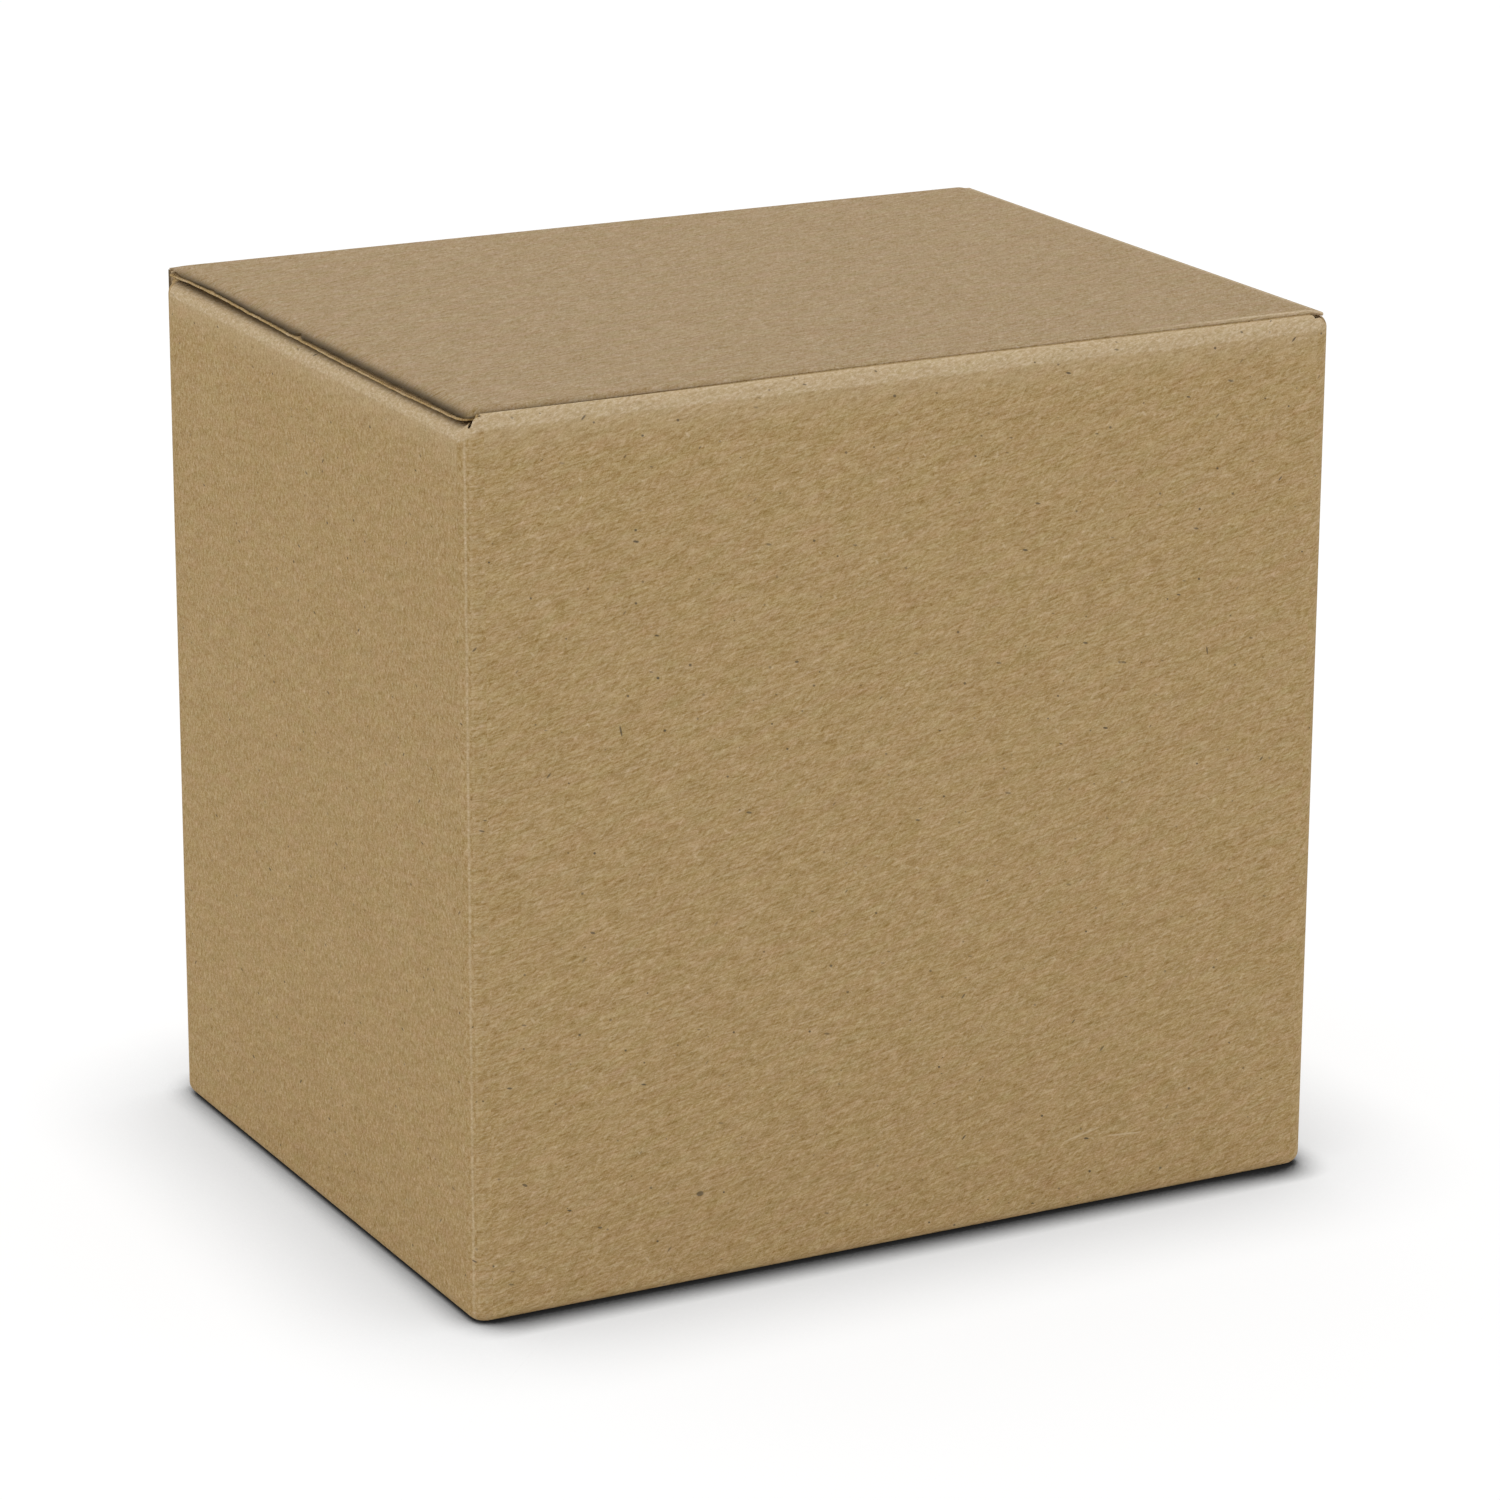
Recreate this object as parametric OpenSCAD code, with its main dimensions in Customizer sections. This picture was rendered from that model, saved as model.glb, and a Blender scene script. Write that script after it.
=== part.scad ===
// A closed carton folded from one sheet of fine-flute corrugated board. The front wall's top fold carries
// the lid, whose tuck flap drops inside the back wall. The bottom is a snap-lock closure of four flaps.
// X runs along the front, Y from front to back, Z up; the origin is the middle of the base.

/* [Carton] */
// Outside width along the front
box_w = 140; // [100:1:220]
// Outside depth from front to back
box_d = 110; // [90:1:180]
// Outside height up to the lid's top face
box_h = 133; // [70:1:240]

/* [Board] */
// Thickness of the board
board_t = 1.5; // [1.2:0.1:1.9]
// Thickness of each facing liner
liner_t = 0.25; // [0.2:0.05:0.35]
// Thickness of the fluted sheet between the liners
medium_t = 0.2; // [0.15:0.05:0.3]
// Distance from one flute to the next
flute_pitch = 3.3; // [2.6:0.1:4.5]
// How far the flutes stand open from a cut edge
flute_depth = 3; // [1:0.5:5]
// Depth of the groove along an edge that was cut in line with the flutes
groove_depth = 0.8; // [0.4:0.1:1.2]

/* [Folds] */
// Inside radius of the upright folds between the walls
upright_inner_r = 1.3; // [0.8:0.1:2]
// Inside radius of the folds round the top and the bottom
crease_inner_r = 0.5; // [0.3:0.1:0.7]
// Height above the table at which the upright folds end
corner_lift = 0.8; // [0.4:0.1:1.5]

/* [Lid] */
// Width of the scored line between the lid and the front wall's fold
hinge_gap = 0.3; // [0.2:0.05:0.5]
// How far the front fold lies below the lid's top face
hinge_drop = 0.25; // [0.2:0.05:0.5]
// How far the lid stops short of each side wall's face
lid_side_inset = 0.4; // [0.2:0.1:1]
// Radius of the lid's front corners, seen from above
lid_corner_r = 1.2; // [0.6:0.1:3]
// Air between the lid and the dust flaps
lid_gap = 0.6; // [0.3:0.1:1.2]
// Air between the lid's back fold and the back wall
tuck_gap = 0.4; // [0.3:0.05:0.8]
// Length of the tuck flap below the lid's back fold
tuck_len = 20; // [12:1:30]
// Air between the tuck flap and each upright fold at the back
tuck_side_gap = 0.4; // [0.3:0.1:2]
// Radius of the tuck flap's two free corners
tuck_corner_r = 9; // [3:1:11]
// Extra lean of the tuck flap, in degrees, past what its swing needs
tuck_extra_lean = 1.5; // [0.5:0.1:3]
// How far the back wall's cut edge lies below the lid's top face
back_drop = 1.2; // [0.8:0.1:2]

/* [Dust flaps] */
// Reach of each dust flap from its side wall's face
dust_len = 48; // [25:1:49]
// Distance from the dust flaps' rear edges to the back wall's face
dust_rear_relief = 6; // [5:0.5:12]
// How far each long edge draws in towards the free end
dust_taper = 5; // [1:0.5:10]
// Length of the square shoulder at the root of each dust flap's rear edge
dust_shoulder = 12; // [6:1:20]
// Radius of the dust flaps' free corners
dust_corner_r = 10; // [4:1:16]

/* [Glued joint] */
// Reach of the glue flap from the left wall's face
glue_w = 22; // [14:1:35]
// How far the back wall's upright cut edge stops short of the left wall's face
seam_inset = 1.6; // [0.2:0.1:2.2]
// Height of the glue flap's lower end
glue_lift = 10; // [9:1:20]
// How far the glue flap's ends draw in towards its free edge
glue_taper = 4; // [2:1:8]
// How far the glue draws the flap's liner into the back wall's
glue_bond = 0.02; // [0.01:0.01:0.05]
// Air between the glue flap's upper end and the leaning tuck flap
glue_clear = 0.6; // [0.4:0.1:1.5]

/* [Bottom closure] */
// Air between one layer of the closure and the next
ply_gap = 0.15; // [0.1:0.05:0.3]
// Length over which the slotted front flap climbs from its fold
front_ramp = 18; // [14:1:24]
// Length over which each side flap climbs from its fold
side_ramp = 7; // [5:1:10]
// Reach of each side flap from its wall's face
side_len = 32; // [22:1:34]
// Half the width of the slot in the front flap
slot_half = 36; // [15:1:37]
// How far the front flap's two legs reach past the slot's edge
leg_len = 14; // [8:1:18]
// How far the back flap's tab reaches over the slot's edge
tab_len = 15; // [8:1:20]
// Length over which the tab climbs through the slot
tab_ramp = 13; // [11:1:18]
// Width of the cut on each side of the tab
tab_slit = 1.5; // [1:0.1:2.5]
// Length over which the back flap's sides draw in from its fold
heel = 6; // [4:1:12]
// Distance from the side flaps' rear edges to the back wall's fold
side_rear_gap = 4; // [3:0.5:8]
// Length of the slanted step at the root of the side flaps' rear edges
side_step = 6; // [4:1:10]
// How far the back flap's shoulders stop behind the slot's edge
shoulder_gap = 2; // [1:0.5:5]
// Radius of the closure's free corners
bottom_corner_r = 7; // [3:1:7]

/* [Hidden] */
$fn = 64;
kraft = [0.66, 0.56, 0.41];
over = 1;                                   // extra length of a cutting shape past the face it cuts

upright_r = upright_inner_r + board_t;      // outside radius of the upright folds
crease_r = crease_inner_r + board_t;        // outside radius of the top and bottom folds
half_w = box_w / 2;
half_d = box_d / 2;

front_top = box_h - hinge_drop;             // top of the front wall's fold
lip = 0.75 * (upright_r - crease_r);        // level board past a fold, where its flap begins
side_top = box_h - board_t - lid_gap;       // top face of the dust flaps
back_top = box_h - back_drop;               // cut edge of the back wall
corner_top = front_top - crease_r;          // upper end of the upright folds

lid_front = -half_d + crease_r + hinge_gap; // lid's front end, at the scored line
tuck_face = half_d - board_t - tuck_gap;    // outer face of the lid's back fold
tuck_drop = crease_r + tuck_len;            // depth of the tuck flap's end below the lid's face
// The tuck flap leans in by as much as its end swings out about the scored line, and a little more
tuck_swing = atan(tuck_drop * tuck_drop / (2 * (tuck_face - lid_front) * tuck_len));
tuck_lean = tuck_swing + tuck_extra_lean;
tuck_half = half_w - upright_r - tuck_side_gap;
edge_plain = 5 * groove_depth;              // closed length at each end of a grooved edge
lid_ease = 2 * liner_t;                     // rounding of the lid's front end into the scored line
// The glue flap ends where the leaning tuck flap has come clear of its face
glue_top = box_h - crease_r - (board_t + glue_clear) / tan(tuck_lean);

ply = board_t + ply_gap;                    // rise from one layer of the closure to the next
stack = 6 * ply;                            // more than the closure's full height
slot_y = 0;                                 // edge of the front flap's slot
lock_y = slot_y + ply / 3;                  // where the tab has reached its full height

core_h = board_t - 2 * liner_t;             // height of the fluted core
wave = (core_h - medium_t) / 2;             // half the travel of the fluted sheet
cell_half = 0.38 * flute_pitch;             // half the width of one open flute
cell_steps = 6;

// Section helpers: a flat outline becomes a sheet that runs along X or along Y

module along_x(x0, x1) {
    translate([x0, 0, 0]) rotate([90, 0, 90]) linear_extrude(x1 - x0) children();
}

module along_y(y0, y1) {
    translate([0, y1, 0]) rotate([90, 0, 0]) linear_extrude(y1 - y0) children();
}

// Part of a fold's ring about the origin, from angle a0 through sweep degrees (up to 180)
module fold_ring(inner_r, a0, sweep) {
    reach = 2 * (inner_r + board_t);
    rotate(a0) difference() {
        circle(inner_r + board_t);
        circle(inner_r);
        translate([-reach, -2 * reach]) square([2 * reach, 2 * reach]);
        rotate(sweep) translate([-reach, 0]) square([2 * reach, 2 * reach]);
    }
}

// Corners of an outline rounded: each point gets its own radius, and 0 leaves it sharp
function unit(v) = v / norm(v);

function corner_points(a, b, c, r) =
    r == 0 ? [b] :
    let (
        u = unit(a - b),
        w = unit(c - b),
        half = acos(max(-1, min(1, u * w))) / 2,
        centre = b + unit(u + w) * r / sin(half),
        from = b + u * r / tan(half) - centre,
        to = b + w * r / tan(half) - centre,
        a0 = atan2(from[1], from[0]),
        sweep = (atan2(to[1], to[0]) - a0 + 540) % 360 - 180,
        steps = 6
    )
    [for (i = [0:steps]) centre + r * [cos(a0 + sweep * i / steps), sin(a0 + sweep * i / steps)]];

function rounded(points, radii) =
    let (n = len(points))
    [for (i = [0:n - 1])
        each corner_points(points[(i + n - 1) % n], points[i], points[(i + 1) % n], radii[i])];

// Open flutes of a cut edge: the hollows above and below the waved sheet, in a strip from 0 to length
// along X whose board fills 0 to board_t in Y

function cell_outline(centre, side) =
    [for (i = [0:cell_steps])
        let (u = cell_half * (2 * i / cell_steps - 1))
        [centre + u, board_t / 2 + side * (medium_t / 2 - wave * cos(360 * u / flute_pitch))]];

module flute_cells(length) {
    count = floor(length / flute_pitch);
    start = (length - count * flute_pitch) / 2;
    for (i = [0:2 * count - 2]) {
        side = i % 2 == 0 ? 1 : -1;
        centre = start + (i + 1) * flute_pitch / 2;
        liner_y = board_t / 2 + side * core_h / 2;
        polygon(concat(
            cell_outline(centre, side),
            [[centre + cell_half, liner_y], [centre - cell_half, liner_y]]
        ));
    }
}

// One wall seen end on: outer face at 0, inside towards positive, with its bottom fold and, where it
// has one, its top fold. Each fold ends in a level lip of its own length

module wall_section(top, folds_over, top_lip) {
    translate([0, crease_r]) square([board_t, top - crease_r - (folds_over ? crease_r : 0)]);
    translate([crease_r, crease_r]) fold_ring(crease_inner_r, 180, 90);
    translate([crease_r, 0]) square([lip, board_t]);
    if (folds_over) {
        translate([crease_r, top - crease_r]) fold_ring(crease_inner_r, 90, 90);
        if (top_lip > 0) translate([crease_r, top - board_t]) square([top_lip, board_t]);
    }
}

module walls() {
    // Front wall, whose top fold ends at the scored line
    along_x(upright_r - half_w, half_w - upright_r)
        translate([-half_d, 0]) wall_section(front_top, true, 0);
    // Left wall, one board short of the back face so that the back wall laps over its glue flap
    along_y(upright_r - half_d, half_d - board_t - upright_r)
        translate([-half_w, 0]) wall_section(side_top, true, lip);
    // Right wall
    along_y(upright_r - half_d, half_d - upright_r)
        mirror([1, 0]) translate([-half_w, 0]) wall_section(side_top, true, lip);
    // Back wall, with a cut edge at its top and down its left side
    difference() {
        along_x(seam_inset - half_w, half_w - upright_r)
            mirror([1, 0]) translate([-half_d, 0]) wall_section(back_top, false, 0);
        translate([seam_inset - half_w, half_d - board_t, back_top - flute_depth])
            linear_extrude(flute_depth + over) flute_cells(box_w - seam_inset - upright_r);
        translate([seam_inset - half_w - over, half_d - board_t + liner_t, crease_r + edge_plain])
            cube([over + groove_depth, core_h, back_top - crease_r - flute_depth - 2 * edge_plain]);
    }
}

// Three of the upright folds seen from above; the fourth, at the back left, leads into the glue flap
module three_folds() {
    translate([upright_r - half_w, upright_r - half_d]) fold_ring(upright_inner_r, 180, 90);
    translate([half_w - upright_r, upright_r - half_d]) fold_ring(upright_inner_r, 270, 90);
    translate([half_w - upright_r, half_d - upright_r]) fold_ring(upright_inner_r, 0, 90);
}

module glue_fold() {
    translate([upright_r - half_w, half_d - board_t - upright_r]) fold_ring(upright_inner_r, 90, 90);
}

// Upright folds, each tied into its two walls over the height that the walls share
module upright_folds() {
    wall_low = upright_r - half_d;
    shared = min(side_top - crease_r, back_top - flute_depth) - over;
    translate([0, 0, corner_lift]) linear_extrude(corner_top - corner_lift) three_folds();
    translate([0, 0, crease_r]) linear_extrude(shared - crease_r) {
        three_folds();
        translate([upright_r - half_w, -half_d]) square([box_w - 2 * upright_r, board_t]);
        translate([-half_w, wall_low]) square([board_t, box_d - board_t - 2 * upright_r]);
        translate([half_w - board_t, wall_low]) square([board_t, box_d - 2 * upright_r]);
        translate([half_w - upright_r - lip, half_d - board_t]) square([lip, board_t]);
    }
}

// Glue flap inside the back wall, with its fold; its ends draw in towards its free edge
module glue_flap() {
    root = upright_r - half_w;
    tip = glue_w - half_w;
    inner = half_d - 2 * board_t;
    difference() {
        translate([0, 0, crease_r + ply_gap]) linear_extrude(corner_top - crease_r - ply_gap) {
            glue_fold();
            translate([root, inner]) square([glue_w - upright_r, board_t]);
        }
        translate([0, half_d, 0]) rotate([90, 0, 0]) linear_extrude(box_d) {
            polygon([
                [root - lip, glue_lift],
                [root, glue_lift],
                [tip + over, glue_lift + glue_taper * (tip + over - root) / (tip - root)],
                [tip + over, -over],
                [root - lip, -over]
            ]);
            polygon([
                [root - lip, glue_top],
                [root, glue_top],
                [tip + over, glue_top - glue_taper * (tip + over - root) / (tip - root)],
                [tip + over, box_h + over],
                [root - lip, box_h + over]
            ]);
        }
        translate([tip - groove_depth, inner + liner_t, glue_lift + glue_taper + edge_plain])
            cube([groove_depth + over, core_h, glue_top - glue_lift - 2 * glue_taper - 2 * edge_plain]);
    }
    // The fold is tied into the left wall
    translate([0, 0, glue_lift]) linear_extrude(glue_top - glue_lift) {
        glue_fold();
        translate([-half_w, half_d - board_t - upright_r - lip]) square([board_t, lip]);
    }
    // The glued face
    translate([root + over, half_d - board_t - glue_bond, glue_lift + glue_taper])
        cube([glue_w - upright_r - 2 * over, 2 * glue_bond, glue_top - glue_lift - 2 * glue_taper]);
}

// Dust flap on the left wall, folded in level under the lid, with open flutes at its free end
module dust_flap(rear) {
    front = upright_r - half_d;
    back = min(rear, half_d - dust_rear_relief);
    tip = dust_len - half_w;
    flute_front = front + dust_taper + dust_corner_r;
    flute_back = back - dust_taper - dust_corner_r;
    difference() {
        translate([0, 0, side_top - board_t]) linear_extrude(board_t)
            polygon(rounded(
                [
                    [crease_r - half_w, front],
                    [tip, front + dust_taper],
                    [tip, back - dust_taper],
                    [dust_shoulder - half_w, back],
                    [crease_r - half_w, back]
                ],
                [0, dust_corner_r, dust_corner_r, 0, 0]
            ));
        translate([tip - flute_depth, flute_front, side_top - board_t]) rotate([90, 0, 90])
            linear_extrude(flute_depth + over) flute_cells(flute_back - flute_front);
    }
}

// Side view of a closure flap: level with the table at its fold, climbing, then level again
module climbing_section(start, ramp, rise, end) {
    polygon([
        [start, 0],
        [start + lip, 0],
        [start + ramp, rise],
        [end, rise],
        [end, rise + board_t],
        [start + ramp, rise + board_t],
        [start + lip, board_t],
        [start, board_t]
    ]);
}

// Slotted flap on the front wall: it lies over the side flaps, and its two legs reach past the slot
module slotted_flap() {
    reach = half_w - upright_r;
    leg_y = slot_y + leg_len;
    intersection() {
        along_x(-reach, reach) translate([-half_d, 0])
            climbing_section(crease_r, front_ramp, 2 * ply, half_d + leg_y);
        linear_extrude(stack)
            polygon(rounded(
                [
                    [-reach, -half_d],
                    [reach, -half_d],
                    [reach, leg_y],
                    [slot_half, leg_y],
                    [slot_half, slot_y],
                    [-slot_half, slot_y],
                    [-slot_half, leg_y],
                    [-reach, leg_y]
                ],
                [0, 0, bottom_corner_r, bottom_corner_r, 1, 1, bottom_corner_r, bottom_corner_r]
            ));
    }
}

// Flap on the left wall: it lies over the back flap and under the slotted one, cut away towards the front
module side_flap() {
    foot = crease_r + side_ramp;
    near_y = crease_r + front_ramp / 2 + over - half_d;
    slope = front_ramp / 2 / side_ramp;
    rear_y = half_d - crease_r - side_rear_gap;
    low_rear_y = half_d - crease_r - heel - over;
    intersection() {
        along_y(-half_d, half_d) translate([-half_w, 0])
            climbing_section(crease_r, side_ramp, ply, side_len);
        linear_extrude(stack) translate([-half_w, 0])
            polygon(rounded(
                [
                    [crease_r, near_y],
                    [side_len, min(near_y + slope * (side_len - crease_r), slot_y + leg_len)],
                    [side_len, rear_y],
                    [foot + side_step, rear_y],
                    [foot, low_rear_y],
                    [crease_r, low_rear_y]
                ],
                [0, 1, 3, 0, 0, 0]
            ));
    }
}

// Flap on the back wall: flat on the table, with a tab that climbs through the slot and locks over its edge
module tabbed_flap() {
    reach = half_w - upright_r;
    body_half = half_w - crease_r - side_ramp - lip;
    tab_half = slot_half - tab_slit;
    ramp_y = lock_y + tab_ramp;
    shoulder_y = slot_y + shoulder_gap;
    fold_y = half_d - crease_r;
    linear_extrude(board_t)
        polygon(rounded(
            [
                [-reach, fold_y],
                [-body_half, fold_y - heel],
                [-body_half, shoulder_y],
                [-slot_half, shoulder_y],
                [-slot_half, ramp_y],
                [slot_half, ramp_y],
                [slot_half, shoulder_y],
                [body_half, shoulder_y],
                [body_half, fold_y - heel],
                [reach, fold_y]
            ],
            [0, 0, bottom_corner_r, 0, 0, 0, 0, bottom_corner_r, 0, 0]
        ));
    intersection() {
        along_x(-tab_half, tab_half) mirror([1, 0])
            climbing_section(-ramp_y - over, tab_ramp + over, 3 * ply, tab_len - slot_y);
        linear_extrude(stack)
            polygon(rounded(
                [
                    [-tab_half, slot_y - tab_len],
                    [tab_half, slot_y - tab_len],
                    [tab_half, ramp_y + over],
                    [-tab_half, ramp_y + over]
                ],
                [bottom_corner_r, bottom_corner_r, 0, 0]
            ));
    }
}

// Everything of the sheet that stays put
module carton() {
    color(kraft) {
        walls();
        upright_folds();
        glue_flap();
        dust_flap(half_d - board_t - upright_r);
        mirror([1, 0, 0]) dust_flap(half_d - upright_r);
        slotted_flap();
        side_flap();
        mirror([1, 0, 0]) side_flap();
        tabbed_flap();
    }
}

// Lid seen end on: panel, back fold and leaning tuck flap; its front end is eased down into the scored line
module lid_section() {
    fold_y = tuck_face - crease_r;
    translate([lid_front, box_h - board_t]) difference() {
        square([fold_y - lid_front, board_t]);
        translate([0, board_t - lid_ease]) difference() {
            translate([-over, 0]) square([over + lid_ease, lid_ease + over]);
            translate([lid_ease, 0]) circle(lid_ease);
        }
    }
    translate([fold_y, box_h - crease_r]) {
        fold_ring(crease_inner_r, -tuck_lean, 90 + tuck_lean);
        rotate(-tuck_lean) translate([crease_inner_r, -tuck_len]) square([board_t, tuck_len]);
    }
}

// Lid panel with its tuck flap, the part of the sheet that turns about the scored line
module lid() {
    reach = half_w - lid_side_inset;
    lid_flat = tuck_face - crease_r - lid_front;
    under = box_h - board_t;
    tuck_end = box_h - crease_r - tuck_len * cos(tuck_lean) - crease_r * sin(tuck_lean);
    color(kraft) difference() {
        along_x(-reach, reach) lid_section();
        // The fold and the tuck flap are narrower than the panel, and the flap's free corners are round
        for (side = [0, 1]) {
            mirror([side, 0, 0]) {
                translate([tuck_half, 0, under - box_h]) cube([box_w, box_d, box_h]);
                translate([tuck_half - tuck_corner_r, 0, tuck_end + tuck_corner_r])
                    rotate([-90, 0, 0]) linear_extrude(box_d) difference() {
                        square(tuck_corner_r + over);
                        circle(tuck_corner_r);
                    }
                // Front corner, rounded in plan
                translate([reach - lid_corner_r, lid_front + lid_corner_r, under - over])
                    linear_extrude(board_t + 2 * over) rotate(-90) difference() {
                        square(lid_corner_r + over);
                        circle(lid_corner_r);
                    }
                // Groove between the liners along the edge that was cut in line with the flutes
                translate([reach - groove_depth, lid_front + lid_corner_r + edge_plain, under + liner_t])
                    cube([groove_depth + over, lid_flat - lid_corner_r - 2 * edge_plain, core_h]);
            }
        }
        // Open flutes along the tuck flap's free edge, between its round corners
        translate([0, tuck_face - crease_r, box_h - crease_r]) rotate([-tuck_lean, 0, 0])
            translate([tuck_corner_r - tuck_half, crease_inner_r, -tuck_len - over])
                linear_extrude(flute_depth + over) flute_cells(2 * (tuck_half - tuck_corner_r));
    }
}

carton();
lid();
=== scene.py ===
"""A closed kraft carton, folded from one sheet of fine corrugated board, on a pale floor.

The board is built as it is made: two liners with a waved sheet between them. Each wall, with the
flap above and the flap below it, is one strip of board that follows a route of straight stretches
and round folds. A point of a strip is known by three sizes: t across the flutes, s along them, and
the depth d below the sheet's outer face. All sizes are in metres."""

import math

import bpy
import numpy as np
from bpy.props import FloatProperty, FloatVectorProperty, PointerProperty
from mathutils import Matrix, Vector


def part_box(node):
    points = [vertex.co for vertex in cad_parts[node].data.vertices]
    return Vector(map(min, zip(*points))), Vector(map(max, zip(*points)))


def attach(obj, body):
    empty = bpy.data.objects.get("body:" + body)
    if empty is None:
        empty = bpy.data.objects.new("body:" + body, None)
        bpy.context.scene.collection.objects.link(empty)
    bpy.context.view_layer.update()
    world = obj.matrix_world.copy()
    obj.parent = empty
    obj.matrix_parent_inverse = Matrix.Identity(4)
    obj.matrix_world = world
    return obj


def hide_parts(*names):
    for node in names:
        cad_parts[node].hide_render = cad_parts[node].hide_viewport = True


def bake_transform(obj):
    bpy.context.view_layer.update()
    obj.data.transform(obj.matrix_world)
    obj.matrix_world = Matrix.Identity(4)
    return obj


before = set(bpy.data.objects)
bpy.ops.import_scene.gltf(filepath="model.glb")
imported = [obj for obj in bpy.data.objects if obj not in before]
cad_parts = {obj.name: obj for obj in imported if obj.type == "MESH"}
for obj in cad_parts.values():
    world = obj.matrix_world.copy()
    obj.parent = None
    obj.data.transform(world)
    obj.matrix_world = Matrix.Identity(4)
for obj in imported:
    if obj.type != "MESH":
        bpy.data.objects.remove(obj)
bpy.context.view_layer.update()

bl_info = {
    "name": "Kraft Carton",
    "version": (1, 0, 0),
    "blender": (4, 5, 0),
    "location": "3D View > Sidebar > Carton",
    "description": "Builds a folded carton of corrugated board, its paper and a plain studio",
    "category": "Add Mesh",
}

CARTON_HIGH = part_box("carton")[1]
LID_LOW, LID_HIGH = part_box("lid")

MM = 0.001
TINY = 1e-9
X = np.array([1.0, 0.0, 0.0])
Y = np.array([0.0, 1.0, 0.0])
Z = np.array([0.0, 0.0, 1.0])
HALF_W = CARTON_HIGH.x
HALF_D = CARTON_HIGH.y
BOX_H = LID_HIGH.z
FRONT_TOP = CARTON_HIGH.z

# How finely the board is cut: across a strip, along it, round each fold, and along a short flap.
COLUMN = 4.4 * MM
ROW = 8 * MM
FOLD_ROWS = 14
FLAP_ROW = 3 * MM

# A jump in a strip's outline is this long.
JUMP = 0.01 * MM

# The air under the lower ends of the upright folds.
FOOT = 0.3 * MM

# Third coordinate of the sheet attribute, which tells the board's three papers apart.
OUTER_PAPER = 0.0
INNER_PAPER = 0.07
FLUTED_PAPER = 0.14


def length(name, description, millimetres):
    """A size property, given in millimetres and kept in metres."""
    return FloatProperty(
        name=name, description=description, default=millimetres * MM, unit="LENGTH", precision=5
    )


def share(name, description, default):
    """A property from 0 to 1."""
    return FloatProperty(
        name=name, description=description, default=default, min=0, max=1, subtype="FACTOR"
    )


def degrees(name, description, value):
    """An angle property, given in degrees and kept in radians."""
    return FloatProperty(
        name=name, description=description, default=math.radians(value), subtype="ANGLE"
    )


def colour(name, description, default):
    """A colour property, in linear light."""
    return FloatVectorProperty(
        name=name, description=description, default=default, size=3, min=0, max=1, subtype="COLOR"
    )


class BoardSizes(bpy.types.PropertyGroup):
    """The sheet of corrugated board and its folds."""

    board: length("Board", "Thickness of the board", 1.5)
    liner: length("Liner", "Thickness of each facing liner", 0.25)
    medium: length("Fluted sheet", "Thickness of the waved sheet between the liners", 0.2)
    pitch: length("Flute pitch", "Distance from one flute to the next", 3.3)
    crease_r: length("Crease radius", "Outside radius of the top and bottom folds", 2.0)
    upright_r: length("Upright radius", "Outside radius of the upright folds", 2.8)
    lid_gap: length("Lid gap", "Air between the lid and the dust flaps", 0.6)
    back_drop: length("Back drop", "How far the back wall's edge lies below the lid's top", 1.2)
    seam_inset: length("Seam inset", "From the back wall's side edge to the left wall's face", 1.6)
    hinge_gap: length("Hinge gap", "Width of the scored line between lid and front fold", 0.3)
    wall_bow: length("Wall bow", "How far the middle of a wall bows in", 0.3)


class FlapSizes(bpy.types.PropertyGroup):
    """The flaps above and below the walls."""

    dust_len: length("Dust flap", "Reach of each dust flap from its wall's face", 48)
    dust_relief: length("Dust relief", "Distance from the dust flaps to the back wall's face", 6)
    dust_taper: length("Dust taper", "How far the dust flaps' long edges draw in", 5)
    dust_shoulder: length("Dust shoulder", "Square root of the dust flaps' rear edges", 12)
    dust_corner: length("Dust corner", "Radius of the dust flaps' free corners", 10)
    tuck_len: length("Tuck flap", "Length of the tuck flap below its fold", 20)
    tuck_side: length("Tuck side gap", "Air between the tuck flap and the upright folds", 0.4)
    tuck_corner: length("Tuck corner", "Radius of the tuck flap's free corners", 9)
    tuck_extra: degrees("Extra lean", "Lean of the tuck flap past what its swing needs", 1.5)
    glue_w: length("Glue flap", "Reach of the glue flap from the left wall's face", 22)
    glue_lift: length("Glue lift", "Height of the glue flap's lower end", 10)
    glue_taper: length("Glue taper", "How far the glue flap's ends draw in", 4)
    glue_clear: length("Glue clearance", "Air between the glue flap's end and the tuck flap", 0.6)
    ply_gap: length("Ply gap", "Air between one layer of the closure and the next", 0.15)
    front_ramp: length("Front ramp", "Length over which the slotted flap climbs", 18)
    side_ramp: length("Side ramp", "Length over which the side flaps climb", 7)
    side_len: length("Side flap", "Reach of each side flap from its wall's face", 32)
    side_rear: length("Side flap's rear gap", "Distance from the side flaps to the back fold", 4)
    side_step: length("Side flap's step", "Length of the slanted step at the side flaps' root", 6)
    slot_half: length("Slot", "Half the width of the slot in the front flap", 36)
    leg_len: length("Legs", "How far the slotted flap's legs reach past the slot's edge", 14)
    tab_len: length("Tab", "How far the tab reaches over the slot's edge", 15)
    tab_ramp: length("Tab ramp", "Length over which the tab climbs through the slot", 13)
    tab_slit: length("Tab slit", "Width of the cut on each side of the tab", 1.5)
    heel: length("Heel", "Length over which the back flap's sides draw in", 6)
    shoulder_gap: length("Shoulder gap", "How far the shoulders stop behind the slot's edge", 2)
    bottom_corner: length("Bottom corner", "Radius of the closure's free corners", 7)


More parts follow.
